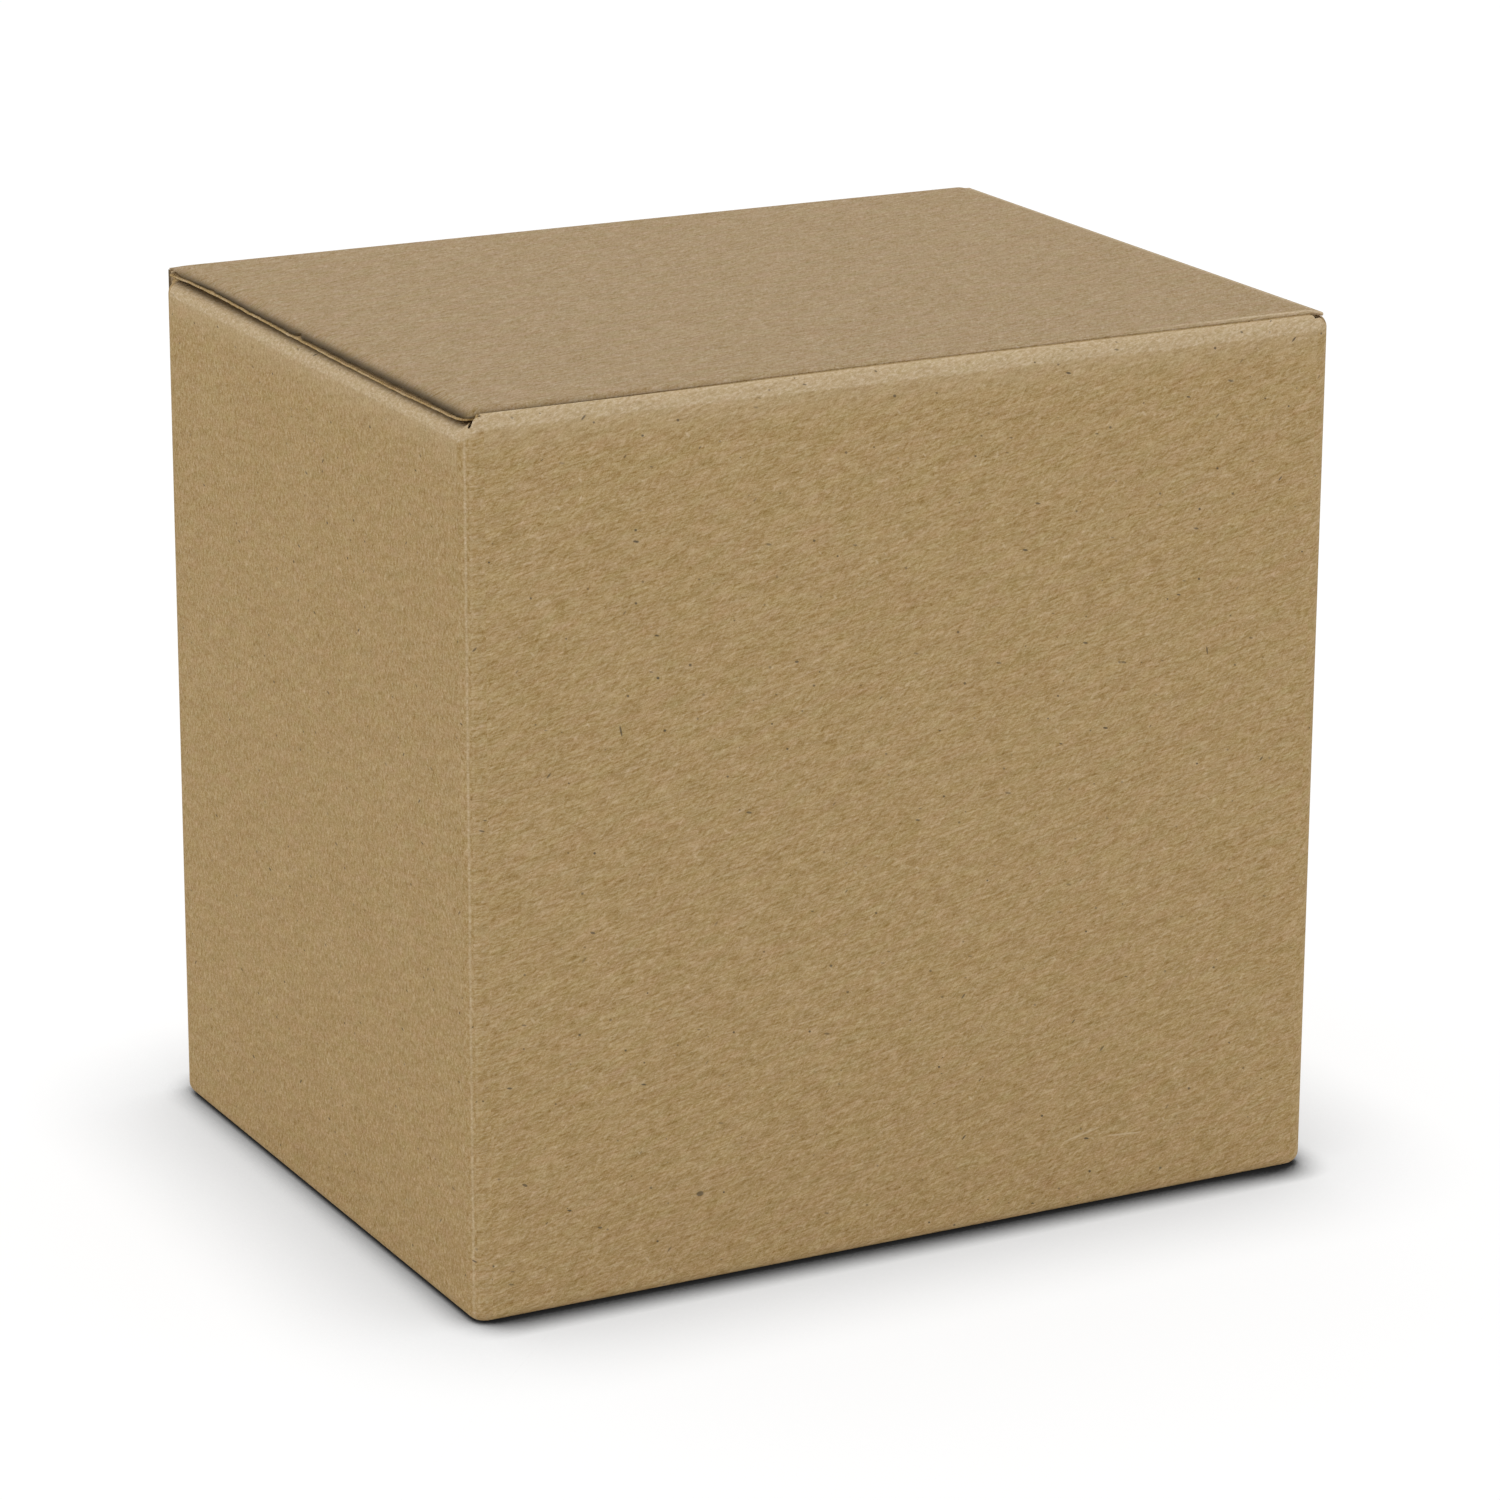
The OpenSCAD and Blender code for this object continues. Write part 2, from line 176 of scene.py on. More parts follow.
class KraftFinish(bpy.types.PropertyGroup):
    """The paper's colours and how strongly it is marked."""

    wall: colour("Wall kraft", "Liner on the walls and flaps", (0.425, 0.295, 0.139))
    # Painted sheen: the lid's liner is the walls' paper, given a greyer tone that stands in for the
    # pale sheen of the top face.
    lid: colour("Lid kraft", "Liner on the lid", (0.371, 0.266, 0.146))
    core: colour("Core", "Fluted sheet between the liners", (0.270, 0.180, 0.088))
    scuff: colour("Scuffed fibre", "Raised, paler fibre along the folds", (0.660, 0.530, 0.360))
    # Painted shade: this dark colour darkens the scored line, the top fold under the lid and the
    # back wall's seam edge; along the crushed lid edge it is dirt and painted shade together.
    shade_and_grime: colour("Crushed edge", "Board crushed along the lid's cut edge", (0.044, 0.029, 0.012))
    speck: colour("Speck", "Dark bark specks and fibres", (0.070, 0.058, 0.042))
    grain: share("Grain", "Contrast of the fibres", 0.56)


class StageSettings(bpy.types.PropertyGroup):
    """Camera and light."""

    azimuth: degrees("Azimuth", "Camera's turn about the carton", -27.84)
    elevation: degrees("Elevation", "Camera's height angle", 17.01)
    roll: degrees("Roll", "Camera's roll", 0.24)
    distance: length("Distance", "From the camera to its target", 851)
    target_right: length("Target right", "Target's offset to the camera's right", 2.43)
    target_up: length("Target up", "Target's offset in the camera's up direction", -5.24)
    focal_length: FloatProperty(
        name="Focal length", description="As a share of the picture's width", default=3.724
    )
    sky: FloatProperty(
        name="Sky", description="Strength of the even white surround", default=0.92
    )
    lamp: FloatProperty(
        name="Lamp", description="Power of the soft lamp behind the carton, in watts", default=1.2
    )


def unit(vector):
    """A vector's direction."""
    vector = np.asarray(vector, float)
    return vector / np.linalg.norm(vector)


def smooth(x):
    """Runs smoothly from 0 at 0 to 1 at 1: 3x^2 - 2x^3."""
    x = np.clip(x, 0.0, 1.0)
    return x * x * (3 - 2 * x)


def bump(x, centre, width):
    """1 at the centre, falling off as exp(-((x - centre) / width)^2)."""
    return np.exp(-(((x - centre) / width) ** 2))


def wobble(x, seed, wave):
    """A gentle, uneven ripple between about -1 and 1: three sines of unlike lengths, added."""
    phase = np.random.default_rng(seed).uniform(0, 2 * math.pi, 3)
    sines = zip((0.5, 0.3, 0.2), (1.0, 2.3, 4.1), phase)
    return sum(part * np.sin(2 * math.pi * ratio * x / wave + p) for part, ratio, p in sines)


def from_left(t, left, right, reach=70 * MM):
    """A strength along the front's scored line: left at the left end, right from reach onwards."""
    return right + (left - right) * (1 - smooth((t + HALF_W) / reach))


def knots(x, pairs):
    """A curve through (place, value) pairs, with smooth steps between them."""
    places = np.array([p for p, _ in pairs]) * MM
    values = np.array([v for _, v in pairs]) * MM
    i = np.clip(np.searchsorted(places, x) - 1, 0, len(places) - 2)
    part = smooth((x - places[i]) / (places[i + 1] - places[i]))
    return values[i] + (values[i + 1] - values[i]) * part


class Route:
    """The board's outer face seen end on: straight stretches joined by round corners.

    On a stretch, point = start + distance * heading. On a corner the heading turns evenly with the
    distance, so the point runs on a circle. The board's inside is on the left where side is 1, and
    on the right where it is -1."""

    def __init__(self, points, radii, side=-1):
        points = [np.array(p, float) for p in points]
        self.side = side
        self.stretches = []
        self.length = 0.0
        start = points[0]
        for i in range(1, len(points)):
            heading = unit(points[i] - points[i - 1])
            angle = math.atan2(heading[1], heading[0])
            trim, turn = 0.0, 0.0
            if i < len(points) - 1 and radii[i] > 0:
                after = unit(points[i + 1] - points[i])
                turn = math.atan2(heading[0] * after[1] - heading[1] * after[0], heading @ after)
                trim = radii[i] * math.tan(abs(turn) / 2)
            end = points[i] - heading * trim
            self._add((end - start) @ heading, start, angle, 0.0)
            start = points[i]
            if trim:
                self._add(radii[i] * abs(turn), end, angle, math.copysign(1 / radii[i], turn))
                start = points[i] + after * trim

    def _add(self, span, start, angle, curve):
        if span > TINY:
            self.stretches.append((self.length, span, start, angle, curve))
            self.length += span

    def at(self, s):
        """Places and inward directions at the distances s."""
        s = np.asarray(s, float)
        place = np.zeros(s.shape + (2,))
        heading = np.zeros(s.shape)
        for begin, span, start, angle, curve in self.stretches:
            on = s >= begin - TINY
            d = np.clip(s[on] - begin, 0, span)
            theta = angle + curve * d
            if curve:
                ahead = np.sin(theta) - math.sin(angle)
                aside = math.cos(angle) - np.cos(theta)
                across = np.stack([ahead, aside], -1) / curve
            else:
                across = d[:, None] * np.array([math.cos(angle), math.sin(angle)])
            place[on] = start + across
            heading[on] = theta
        return place, self.side * np.stack([-np.sin(heading), np.cos(heading)], -1)

    def near(self, a, b, steps=40000):
        """Distance along the route of its point nearest to (a, b)."""
        s = np.linspace(0, self.length, steps)
        place, _ = self.at(s)
        return s[np.argmin(((place - np.array([a, b])) ** 2).sum(-1))]

    def rows(self, step, corner_steps, stops=(), guard=0.3 * MM, least=0.004 * MM):
        """Distances that cut stretches into steps and corners into corner_steps, with the stops.
        A row stands a guard away on each side of a corner. Rows closer than least are left out."""
        cuts = [np.array([self.length])] + [np.atleast_1d(stop) for stop in stops]
        for begin, span, _, _, curve in self.stretches:
            n = corner_steps if curve else max(1, math.ceil(span / step))
            cuts.append(begin + span * np.arange(n) / n)
            if curve:
                cuts.append(np.array([begin - guard, begin + span + guard]))
        s = np.unique(np.concatenate(cuts))
        s = s[(s >= 0) & (s <= self.length)]
        return s[np.concatenate([[True], np.diff(s) > least])]


class Layers:
    """How the board's depths lie: each face may be pressed in, and what is between follows."""

    def __init__(self, sizes, outer=None, inner=None):
        self.liner = sizes.liner
        self.board = sizes.board
        self.outer = outer
        self.inner = inner

    def depth(self, t, s, d):
        """Depth d, plus the outer face's press times its share, plus the inner face's times the
        rest."""
        below = np.clip((d - self.liner) / (self.board - 2 * self.liner), 0, 1)
        result = d + np.zeros(np.shape(t))
        if self.outer:
            result = result + self.outer(t, s) * (1 - below)
        if self.inner:
            result = result + self.inner(t, s) * below
        return result


def strip_place(route, origin, along, inward, layers):
    """Place = origin + t along + a inward + b up, where (a, b) is the route's point at s, moved in
    by the depth."""

    def place(t, s, d):
        spot, normal = route.at(s)
        spot = spot + normal * layers.depth(t, s, d)[..., None]
        return origin + t[..., None] * along + spot[..., :1] * inward + spot[..., 1:] * Z

    return place


def upright_place(route, layers):
    """Place = the route's point at t in plan, moved in by the depth, at the height s."""

    def place(t, s, d):
        spot, normal = route.at(t)
        spot = spot + normal * layers.depth(t, s, d)[..., None]
        return np.concatenate([spot, s[..., None]], -1)

    return place


def edge(s, pairs):
    """An outline's edge: straight between (distance, place) pairs."""
    pairs = sorted(pairs)
    return np.interp(s, [p for p, _ in pairs], [q for _, q in pairs])


def rounding(s, end, radius):
    """How far a rounded corner draws an edge in near the end of a flap: r - sqrt(r^2 - (r - x)^2),
    where x is the distance left to the end."""
    x = np.clip(np.abs(end - s), 0, radius)
    return radius - np.sqrt(np.maximum(radius**2 - (radius - x) ** 2, 0))


def corner_stops(end, radius, inside):
    """Distances close together near a rounded corner. inside is the way into the flap, 1 or -1."""
    return end + inside * radius * (1 - np.cos(np.linspace(0, math.pi / 2, 9)))


def columns(width, step, margin=4 * MM, fine=0.45 * MM):
    """Shares of a width, in steps, with finer steps towards both edges."""
    count = max(2, math.ceil((width - 2 * margin) / step))
    near_edge = margin * (np.arange(9) / 9) ** 1.5
    if width < 3 * margin:
        return np.linspace(0, 1, max(3, math.ceil(width / fine / 2)))
    middle = np.linspace(margin, width - margin, count + 1)
    return np.concatenate([near_edge, middle, width - near_edge[::-1]]) / width


class Sheets:
    """Sheets of paper, gathered into one mesh."""

    def __init__(self):
        self.points = []
        self.faces = []
        self.sheet = []
        self.wear_and_shade = []
        self.count = 0

    def add(self, place, t, s, outer, inner, shift, paper, wear_and_shade=None):
        """One closed sheet: a grid at each of its two depths, joined by a rim round the edge.
        Point (row, column) is place(t, s, depth)."""
        rows, cols = t.shape
        for depth in (outer, inner):
            self.points.append(place(t, s, depth).reshape(-1, 3))
            flat = np.stack([t + shift[0], s + shift[1], np.full(t.shape, paper)], -1)
            self.sheet.append(flat.reshape(-1, 3))
            worn_and_shaded = wear_and_shade(t, s) if wear_and_shade else np.zeros(t.shape + (3,))
            self.wear_and_shade.append(worn_and_shaded.reshape(-1, 3))
        near = self.count + np.arange(rows * cols).reshape(rows, cols)
        far = near + rows * cols
        self._quads(near[:-1, :-1], near[:-1, 1:], near[1:, 1:], near[1:, :-1])
        self._quads(far[:-1, :-1], far[1:, :-1], far[1:, 1:], far[:-1, 1:])
        self._quads(near[:-1, 0], near[1:, 0], far[1:, 0], far[:-1, 0])
        self._quads(near[:-1, -1], far[:-1, -1], far[1:, -1], near[1:, -1])
        self._quads(near[0, :-1], far[0, :-1], far[0, 1:], near[0, 1:])
        self._quads(near[-1, :-1], near[-1, 1:], far[-1, 1:], far[-1, :-1])
        self.count += 2 * rows * cols

    def _quads(self, a, b, c, d):
        self.faces.append(np.stack([a, b, c, d], -1).reshape(-1, 4))

    def piece(self, name, material, sharp=math.radians(40)):
        """The mesh as an object, with the flat sheet's coordinates and the wear and painted shade
        as attributes.
        """
        points = np.concatenate(self.points)
        faces = np.concatenate(self.faces)
        mesh = bpy.data.meshes.new(name)
        mesh.vertices.add(len(points))
        mesh.vertices.foreach_set("co", points.astype(np.float32).ravel())
        mesh.loops.add(faces.size)
        mesh.loops.foreach_set("vertex_index", faces.astype(np.int32).ravel())
        mesh.polygons.add(len(faces))
        mesh.polygons.foreach_set("loop_start", np.arange(0, faces.size, 4, dtype=np.int32))
        mesh.update(calc_edges=True)
        for label, values in (("sheet", self.sheet), ("wear_and_shade", self.wear_and_shade)):
            attribute = mesh.attributes.new(label, "FLOAT_VECTOR", "POINT")
            values = np.concatenate(values).astype(np.float32)
            attribute.data.foreach_set("vector", values.ravel())
        mesh.shade_smooth()
        mesh.set_sharp_from_angle(angle=sharp)
        mesh.materials.append(material)
        piece = bpy.data.objects.new(name, mesh)
        bpy.context.scene.collection.objects.link(piece)
        return piece


class Board:
    """The carton's board: adds panels of it to the liners' mesh and the fluted sheet's mesh."""

    def __init__(self, sizes):
        self.sizes = sizes
        self.liners = Sheets()
        self.flutes = Sheets()

    def panel(self, place, t, s, shift, wear_and_shade=None, outer_grid=None, inner_wear=None):
        """Both liners over a grid of t and s. The outer liner may have its own grid, and the inner
        its own wear. Without one of its own, the inner liner shares only the outer one's frayed
        edges."""
        board, liner = self.sizes.board, self.sizes.liner

        def frayed_alone(t, s):
            """The outer liner's wear without its scuffs, dirt and painted shade."""
            return wear_and_shade(t, s) * np.array([0, 0, 1])

        if wear_and_shade and not inner_wear:
            inner_wear = frayed_alone
        outer_t, outer_s = outer_grid if outer_grid else (t, s)
        self.liners.add(place, outer_t, outer_s, 0.0, liner, shift, OUTER_PAPER, wear_and_shade)
        self.liners.add(place, t, s, board - liner, board, shift, INNER_PAPER, inner_wear)

    def waves(self, place, rows, low, high, shift, per_flute=5.5, draw_in=0.15 * MM):
        """The waved sheet between the edges low and high, cut per_flute times in each flute."""
        low, high = low + draw_in, high - draw_in
        count = max(3, math.ceil((high - low).max() / self.sizes.pitch * per_flute))
        self.waved(place, *grid(rows, low, high, np.linspace(0, 1, count + 1)), shift)

    def waved(self, place, t, s, shift):
        """The waved sheet: depth = middle + height * cos(2 pi t / pitch), the same all along s."""
        sizes = self.sizes
        height = (sizes.board - 2 * sizes.liner - sizes.medium) / 2
        middle = sizes.board / 2 + height * np.cos(2 * math.pi * t / sizes.pitch)
        outer, inner = middle - sizes.medium / 2, middle + sizes.medium / 2
        self.flutes.add(place, t, s, outer, inner, shift, FLUTED_PAPER)


def grid(rows, low, high, shares):
    """t and s of a panel: on each row s, t runs from the low to the high edge by the shares."""
    t = low[:, None] + (high - low)[:, None] * shares[None, :]
    return t, np.repeat(rows[:, None], len(shares), 1)


def stack3(scuff, shade, fray):
    """The three kinds of mark as one array: scuffs, painted shade and frayed paper."""
    return np.stack(np.broadcast_arrays(scuff, shade, fray), -1).astype(float)


class Derived:
    """Sizes that follow from the driving ones: tops of walls, ply, the step from one layer of the
    closure to the next, reaches of the flat walls from the middle, and the tuck flap's lean."""

    def __init__(self, sizes, flaps):
        self.side_top = BOX_H - sizes.board - sizes.lid_gap
        self.back_top = BOX_H - sizes.back_drop
        self.ply = sizes.board + flaps.ply_gap
        self.lip = 0.75 * (sizes.upright_r - sizes.crease_r)
        self.reach_x = HALF_W - sizes.upright_r
        self.reach_y = HALF_D - sizes.upright_r
        self.fold_len = sizes.upright_r * math.pi / 2
        self.lock = self.ply / 3
        self.tuck_face = LID_HIGH.y
        self.lid_front = LID_LOW.y
        drop = sizes.crease_r + flaps.tuck_len
        swing = math.atan(drop**2 / (2 * (self.tuck_face - self.lid_front) * flaps.tuck_len))
        self.lean = swing + flaps.tuck_extra
        tip_room = (sizes.board + flaps.glue_clear) / math.tan(self.lean)
        self.glue_top = BOX_H - sizes.crease_r - tip_room


def wall_layers(sizes, route, wall_low, wall_high, half, seed):
    """A wall's faces bow in together: bow * sin(pi u) * sin(pi v), where u and v run over the wall
    from 0 to 1, with a faint ripple."""
    s0, s1 = route.near(0, wall_low), route.near(0, wall_high)

    def press(t, s):
        u = np.clip((t + half) / (2 * half), 0, 1)
        v = np.clip((s - s0) / (s1 - s0), 0, 1)
        dome = np.sin(math.pi * u) * np.sin(math.pi * v)
        ripple = wobble(t, seed, 60 * MM) * wobble(s, seed + 1, 70 * MM)
        return sizes.wall_bow * dome * (0.75 + 0.25 * ripple)

    return Layers(sizes, press, press)


def on_fold(s, fold, spread):
    """1 between a fold's two distances, gone within a spread on each side."""
    return smooth((s - fold[0] + spread) / spread) * (1 - smooth((s - fold[1]) / spread))


def fold_scuffs_and_shade(top_fold, low_fold, half, top=1.0, low=0.35, spread=0.9 * MM, under=0.0):
    """Scuffing along a strip's folds: top and low are its strengths on them. The last argument is
    the strength of the painted shade where the top fold runs in below the lid."""

    def wear_and_shade(t, s):
        folds = np.maximum(on_fold(s, top_fold, spread) * top, on_fold(s, low_fold, spread) * low)
        side = bump(np.abs(t), half, 1.2 * MM) * 0.25
        # Painted shade on the top fold where it runs in below the lid.
        shade_below_lid = bump(s, top_fold[1] - 0.35 * MM, 0.95 * MM) * under
        return stack3(np.maximum(folds, side), shade_below_lid, 0.0)

    return wear_and_shade


def free_flap(board, sizes, corner, route, axes, edges, shift, rounded=(1, 1), turns=1):
    """A flap of the closure from its free end on. Its corners are rounded where rounded is 1, at
    the low and the high edge. turns is the number of rows round a bend of it."""
    rows = route.rows(FLAP_ROW, turns, [corner_stops(0, corner, 1)])
    draw = rounding(rows, 0, corner)
    low, high = edges[0] + draw * rounded[0], edges[1] - draw * rounded[1]
    place = strip_place(route, *axes, Layers(sizes))
    t, s = grid(rows, low, high, columns(edges[1] - edges[0], COLUMN))
    board.panel(place, t, s, shift)
    board.waves(place, rows, low, high, shift)


def front_strip(board, sizes, flaps, d):
    """Front wall, its top fold up to the scored line, and the slotted flap with its two legs."""
    r = sizes.crease_r
    top = FRONT_TOP
    rise = 2 * d.ply
    climb = [(HALF_D, rise), (r + flaps.front_ramp, rise), (r + d.lip, 0)]
    route = Route([*climb, (0, 0), (0, top), (r + TINY, top)], [0, 8 * MM, 2 * MM, r, r, 0])
    wall = (route.near(0, r), route.near(0, top - r))
    layers = wall_layers(sizes, route, r, top - r, d.reach_x, 3)
    wall_press = layers.outer
    end = route.length

    def press(t, s):
        """The wall's bow, and a dip into the scored line that is deepest at the left."""
        dip = from_left(t, 0.55 * MM, 0.1 * MM)
        return wall_press(t, s) + dip * smooth(1 - (end - s) / (0.9 * MM))

    layers.outer = press
    axes = (np.array([0, -HALF_D, 0]), X, Y)
    place = strip_place(route, *axes, layers)
    rows = route.rows(ROW, FOLD_ROWS, [end - np.array([0.15, 0.3, 0.5, 0.7, 0.9]) * MM])
    low, high = np.full(len(rows), -d.reach_x), np.full(len(rows), d.reach_x)
    t, s = grid(rows, low, high, columns(2 * d.reach_x, COLUMN))
    shift = (0.0, -wall[0])
    flap_end = route.near(r, 0)
    past_end = end + 1
    folds = fold_scuffs_and_shade((wall[1], past_end), (flap_end, wall[0]), d.reach_x)

    def wear_and_shade(t, s):
        """The folds' scuffing, and painted shade in the scored line, which fades to the right."""
        # Painted shade in the scored line, darkest at the left end where the line dips deepest.
        line = smooth(1 - (end - s) / (0.7 * MM)) * from_left(t, 0.6, 0.12)
        return folds(t, s) * (1 - line[..., None]) + stack3(0.0, line, 0.0)

    board.panel(place, t, s, shift, wear_and_shade)
    on_flap = rows <= flap_end + TINY
    board.waves(place, rows[on_flap], low[on_flap], high[on_flap], shift)
    legs = Route([(HALF_D + flaps.leg_len, rise), (HALF_D, rise)], [0, 0])
    leg_shift = (0.0, shift[1] - flaps.leg_len)
    for side in (-1, 1):
        edges = sorted([side * flaps.slot_half, side * d.reach_x])
        free_flap(board, sizes, flaps.bottom_corner, legs, axes, edges, leg_shift)


def side_strip(board, sizes, flaps, d, left):
    """A side wall, the dust flap above it and the flap of the closure below it."""
    r = sizes.crease_r
    top = d.side_top
    foot = r + flaps.side_ramp
    climb = [(flaps.side_len, d.ply), (foot, d.ply), (r + d.lip, 0)]
    route = Route([*climb, (0, 0), (0, top), (flaps.dust_len, top)], [0, 5 * MM, 2 * MM, r, r, 0])
    wall_back = d.reach_y - (sizes.board if left else 0)
    wall_front = -d.reach_y
    wall = (route.near(0, r), route.near(0, top - r))
    near_y = r + flaps.front_ramp / 2 + 1 * MM - HALF_D
    slope = flaps.front_ramp / 2 / flaps.side_ramp
    far_y = min(near_y + slope * (flaps.side_len - r), flaps.leg_len)
    turn_a = r + (far_y - near_y) / slope
    rear = HALF_D - r - flaps.side_rear
    low_rear = HALF_D - r - flaps.heel - 1 * MM
    flap_end, dust_start = route.near(r, 0), route.near(r, top)
    bottom_front = [
        (0, far_y),
        (route.near(turn_a, d.ply), far_y),
        (flap_end - JUMP, near_y),
        (flap_end, wall_front),
    ]
    bottom_back = [
        (0, rear),
        (route.near(foot + flaps.side_step, d.ply), rear),
        (route.near(foot, d.ply), low_rear),
        (flap_end - JUMP, low_rear),
        (flap_end, wall_back),
    ]
    dust_back = min(wall_back, HALF_D - flaps.dust_relief)
    top_front = [
        (dust_start, wall_front),
        (route.length, wall_front + flaps.dust_taper),
    ]
    top_back = [
        (dust_start, wall_back),
        (dust_start + JUMP, dust_back),
        (dust_start + flaps.dust_shoulder - r, dust_back),
        (route.length, dust_back - flaps.dust_taper),
    ]
    stops = [np.array([p for p, _ in bottom_front + bottom_back + top_front + top_back])]
    stops.append(corner_stops(route.length, flaps.dust_corner, -1))
    rows = route.rows(ROW, FOLD_ROWS, stops)
    draw = rounding(rows, route.length, flaps.dust_corner)
    front_y = edge(rows, bottom_front + top_front) + draw
    back_y = edge(rows, bottom_back + top_back) - draw
    along = -Y if left else Y
    low, high = (-back_y, -front_y) if left else (front_y, back_y)
    half = (high[len(rows) // 2] - low[len(rows) // 2]) / 2
    layers = wall_layers(sizes, route, r, top - r, d.reach_y, 11 if left else 17)
    origin = np.array([-HALF_W if left else HALF_W, 0, 0])
    place = strip_place(route, origin, along, X if left else -X, layers)
    t, s = grid(rows, low, high, columns(2 * half, COLUMN))
    turn = d.reach_x + d.fold_len + d.reach_y
    shift = (-turn if left else turn, -wall[0])
    top_fold = (wall[1], route.near(r, top))
    # The left wall's top fold is scuffed hardest and carries the most painted shade below the lid.
    strengths = {"top": 1.0, "under": 0.65} if left else {"top": 0.5, "under": 0.4}
    folds = fold_scuffs_and_shade(top_fold, (flap_end, wall[0]), half, **strengths)
    board.panel(place, t, s, shift, folds)
    for part in (rows <= flap_end - JUMP / 2, rows >= dust_start + JUMP / 2):
        board.waves(place, rows[part], low[part], high[part], shift)


def back_strip(board, sizes, flaps, d):
    """Back wall with its two cut edges, and the closure's tabbed flap with its shoulders."""
    r = sizes.crease_r
    top = d.back_top
    ramp_a = HALF_D - (d.lock + flaps.tab_ramp)
    route = Route([(ramp_a, 0), (0, 0), (0, top)], [0, r, 0])
    body_half = HALF_W - r - flaps.side_ramp - d.lip
    flap_end = route.near(r, 0)
    heel_s = route.near(r + flaps.heel, 0)
    rows = route.rows(ROW, FOLD_ROWS, [np.array([heel_s, flap_end, flap_end - JUMP])])
    half = edge(rows, [(0, body_half), (heel_s, body_half), (flap_end - JUMP, d.reach_x)])
    low = -half
    high = np.where(rows >= flap_end - JUMP / 2, HALF_W - sizes.seam_inset, half)
    layers = wall_layers(sizes, route, r, top + 40 * MM, d.reach_x, 23)
    axes = (np.array([0, HALF_D, 0]), -X, -Y)
    place = strip_place(route, *axes, layers)
    t, s = grid(rows, low, high, columns(2 * d.reach_x, COLUMN))
    wall = (route.near(0, r), route.length)
    turn = 2 * (d.reach_x + d.fold_len + d.reach_y)
    shift = (turn, -wall[0])

    def wear_and_shade(t, s):
        """Scuffing on the bottom fold, frayed paper at the top edge, painted shade along the side
        edge.
        """
        lower = on_fold(s, (flap_end, wall[0]), MM) * 0.35
        # Painted shade: a dark line on the wall's face at its left cut edge.
        seam = bump(t, HALF_W - sizes.seam_inset, 0.35 * MM) * 0.7
        return stack3(lower, seam, bump(s, route.length, 0.5 * MM) * 0.7)

    board.panel(place, t, s, shift, wear_and_shade)
    board.waves(place, rows, low, high, shift)
    corner = flaps.bottom_corner
    ledge = Route([(HALF_D - flaps.shoulder_gap, 0), (ramp_a, 0)], [0, 0])
    ledge_shift = (turn, shift[1] - ledge.length)
    for side in (-1, 1):
        edges = sorted([side * flaps.slot_half, side * body_half])
        rounded = (side < 0, side > 0)
        free_flap(board, sizes, corner, ledge, axes, edges, ledge_shift, rounded)
    rise = 3 * d.ply
    climb = [(HALF_D + flaps.tab_len, rise), (HALF_D - d.lock, rise), (ramp_a + d.lip, 0)]
    tab = Route([*climb, (ramp_a, 0)], [0, 6 * MM, 1 * MM, 0])
    tab_half = flaps.slot_half - flaps.tab_slit
    tab_shift = (turn, shift[1] - tab.length)
    edges = (-tab_half, tab_half)
    free_flap(board, sizes, corner, tab, axes, edges, tab_shift, turns=8)


def between(t, span, ends, turn):
    """A smooth change across a fold from one end's value to the other's, between the two shares in
    turn."""
    return ends[0] + (ends[1] - ends[0]) * smooth((t / span - turn[0]) / (turn[1] - turn[0]))


def fold_layers(sizes, levels, span, turn, start=0.0):
    """An upright fold draws in at its ends as the rolled folds beside it do: by
    r - sqrt(r^2 - z^2) at a height z past the level where those begin to roll. The level runs from
    one wall's to the next wall's."""
    r = sizes.crease_r
    farthest = 0.985 * r

    def press(t, s):
        past = np.maximum(s - between(t - start, span, levels, turn), r - s)
        past = np.clip(past, 0, farthest)
        return r - np.sqrt(r * r - past * past)

    def press_inner(t, s):
        return np.minimum(press(t, s), 0.5 * r)

    return Layers(sizes, press, press_inner)


def upright_fold(board, sizes, points, levels, ends, turn, shift, slit, scuff, tops):
    """One upright fold: a quarter turn of board, with a narrow slit down from its top end. levels
    are where its two walls begin to roll, ends where they end, scuff how scuffed the fold is and
    tops how scuffed their top folds are."""
    route = Route(points, [0, sizes.upright_r, 0], side=1)
    span = route.length
    place = upright_place(route, fold_layers(sizes, levels, span, turn))
    across = np.linspace(0, 1, 37) * span
    low_rows = np.linspace(0, 0.02, 8)
    high_rows = 1 - 0.05 * (1 - np.linspace(0, 1, 24) ** 0.8)
    up = np.concatenate([low_rows, np.linspace(0.05, 0.93, 12), high_rows])
    t = np.repeat(across[None, :], len(up), 0)
    in_slit = np.exp(-(((across - 0.5 * span) / (0.42 * MM)) ** 4))
    end = between(across, span, ends, turn) - slit * in_slit
    s = FOOT + (end - FOOT)[None, :] * up[:, None]

    def wear_and_shade(t, s):
        """Two pale lines down the fold, with a dark one beside them, and its rolled ends."""
        line = bump(t, 0.36 * span, 0.35 * MM) * scuff
        line = line + bump(t, 0.56 * span, 0.25 * MM) * 0.6 * scuff
        dark = bump(t, 0.8 * span, 0.45 * MM) * 0.16 * scuff
        rolled = smooth((s - between(t, span, levels, turn)) / (0.9 * MM) + 1)
        tips = np.maximum(rolled * between(t, span, tops, (0, 1)), bump(s, 0, 2 * MM) * 0.5)
        return stack3(np.maximum(line, tips), dark, 0.0)

    board.panel(place, t, s, shift, wear_and_shade)


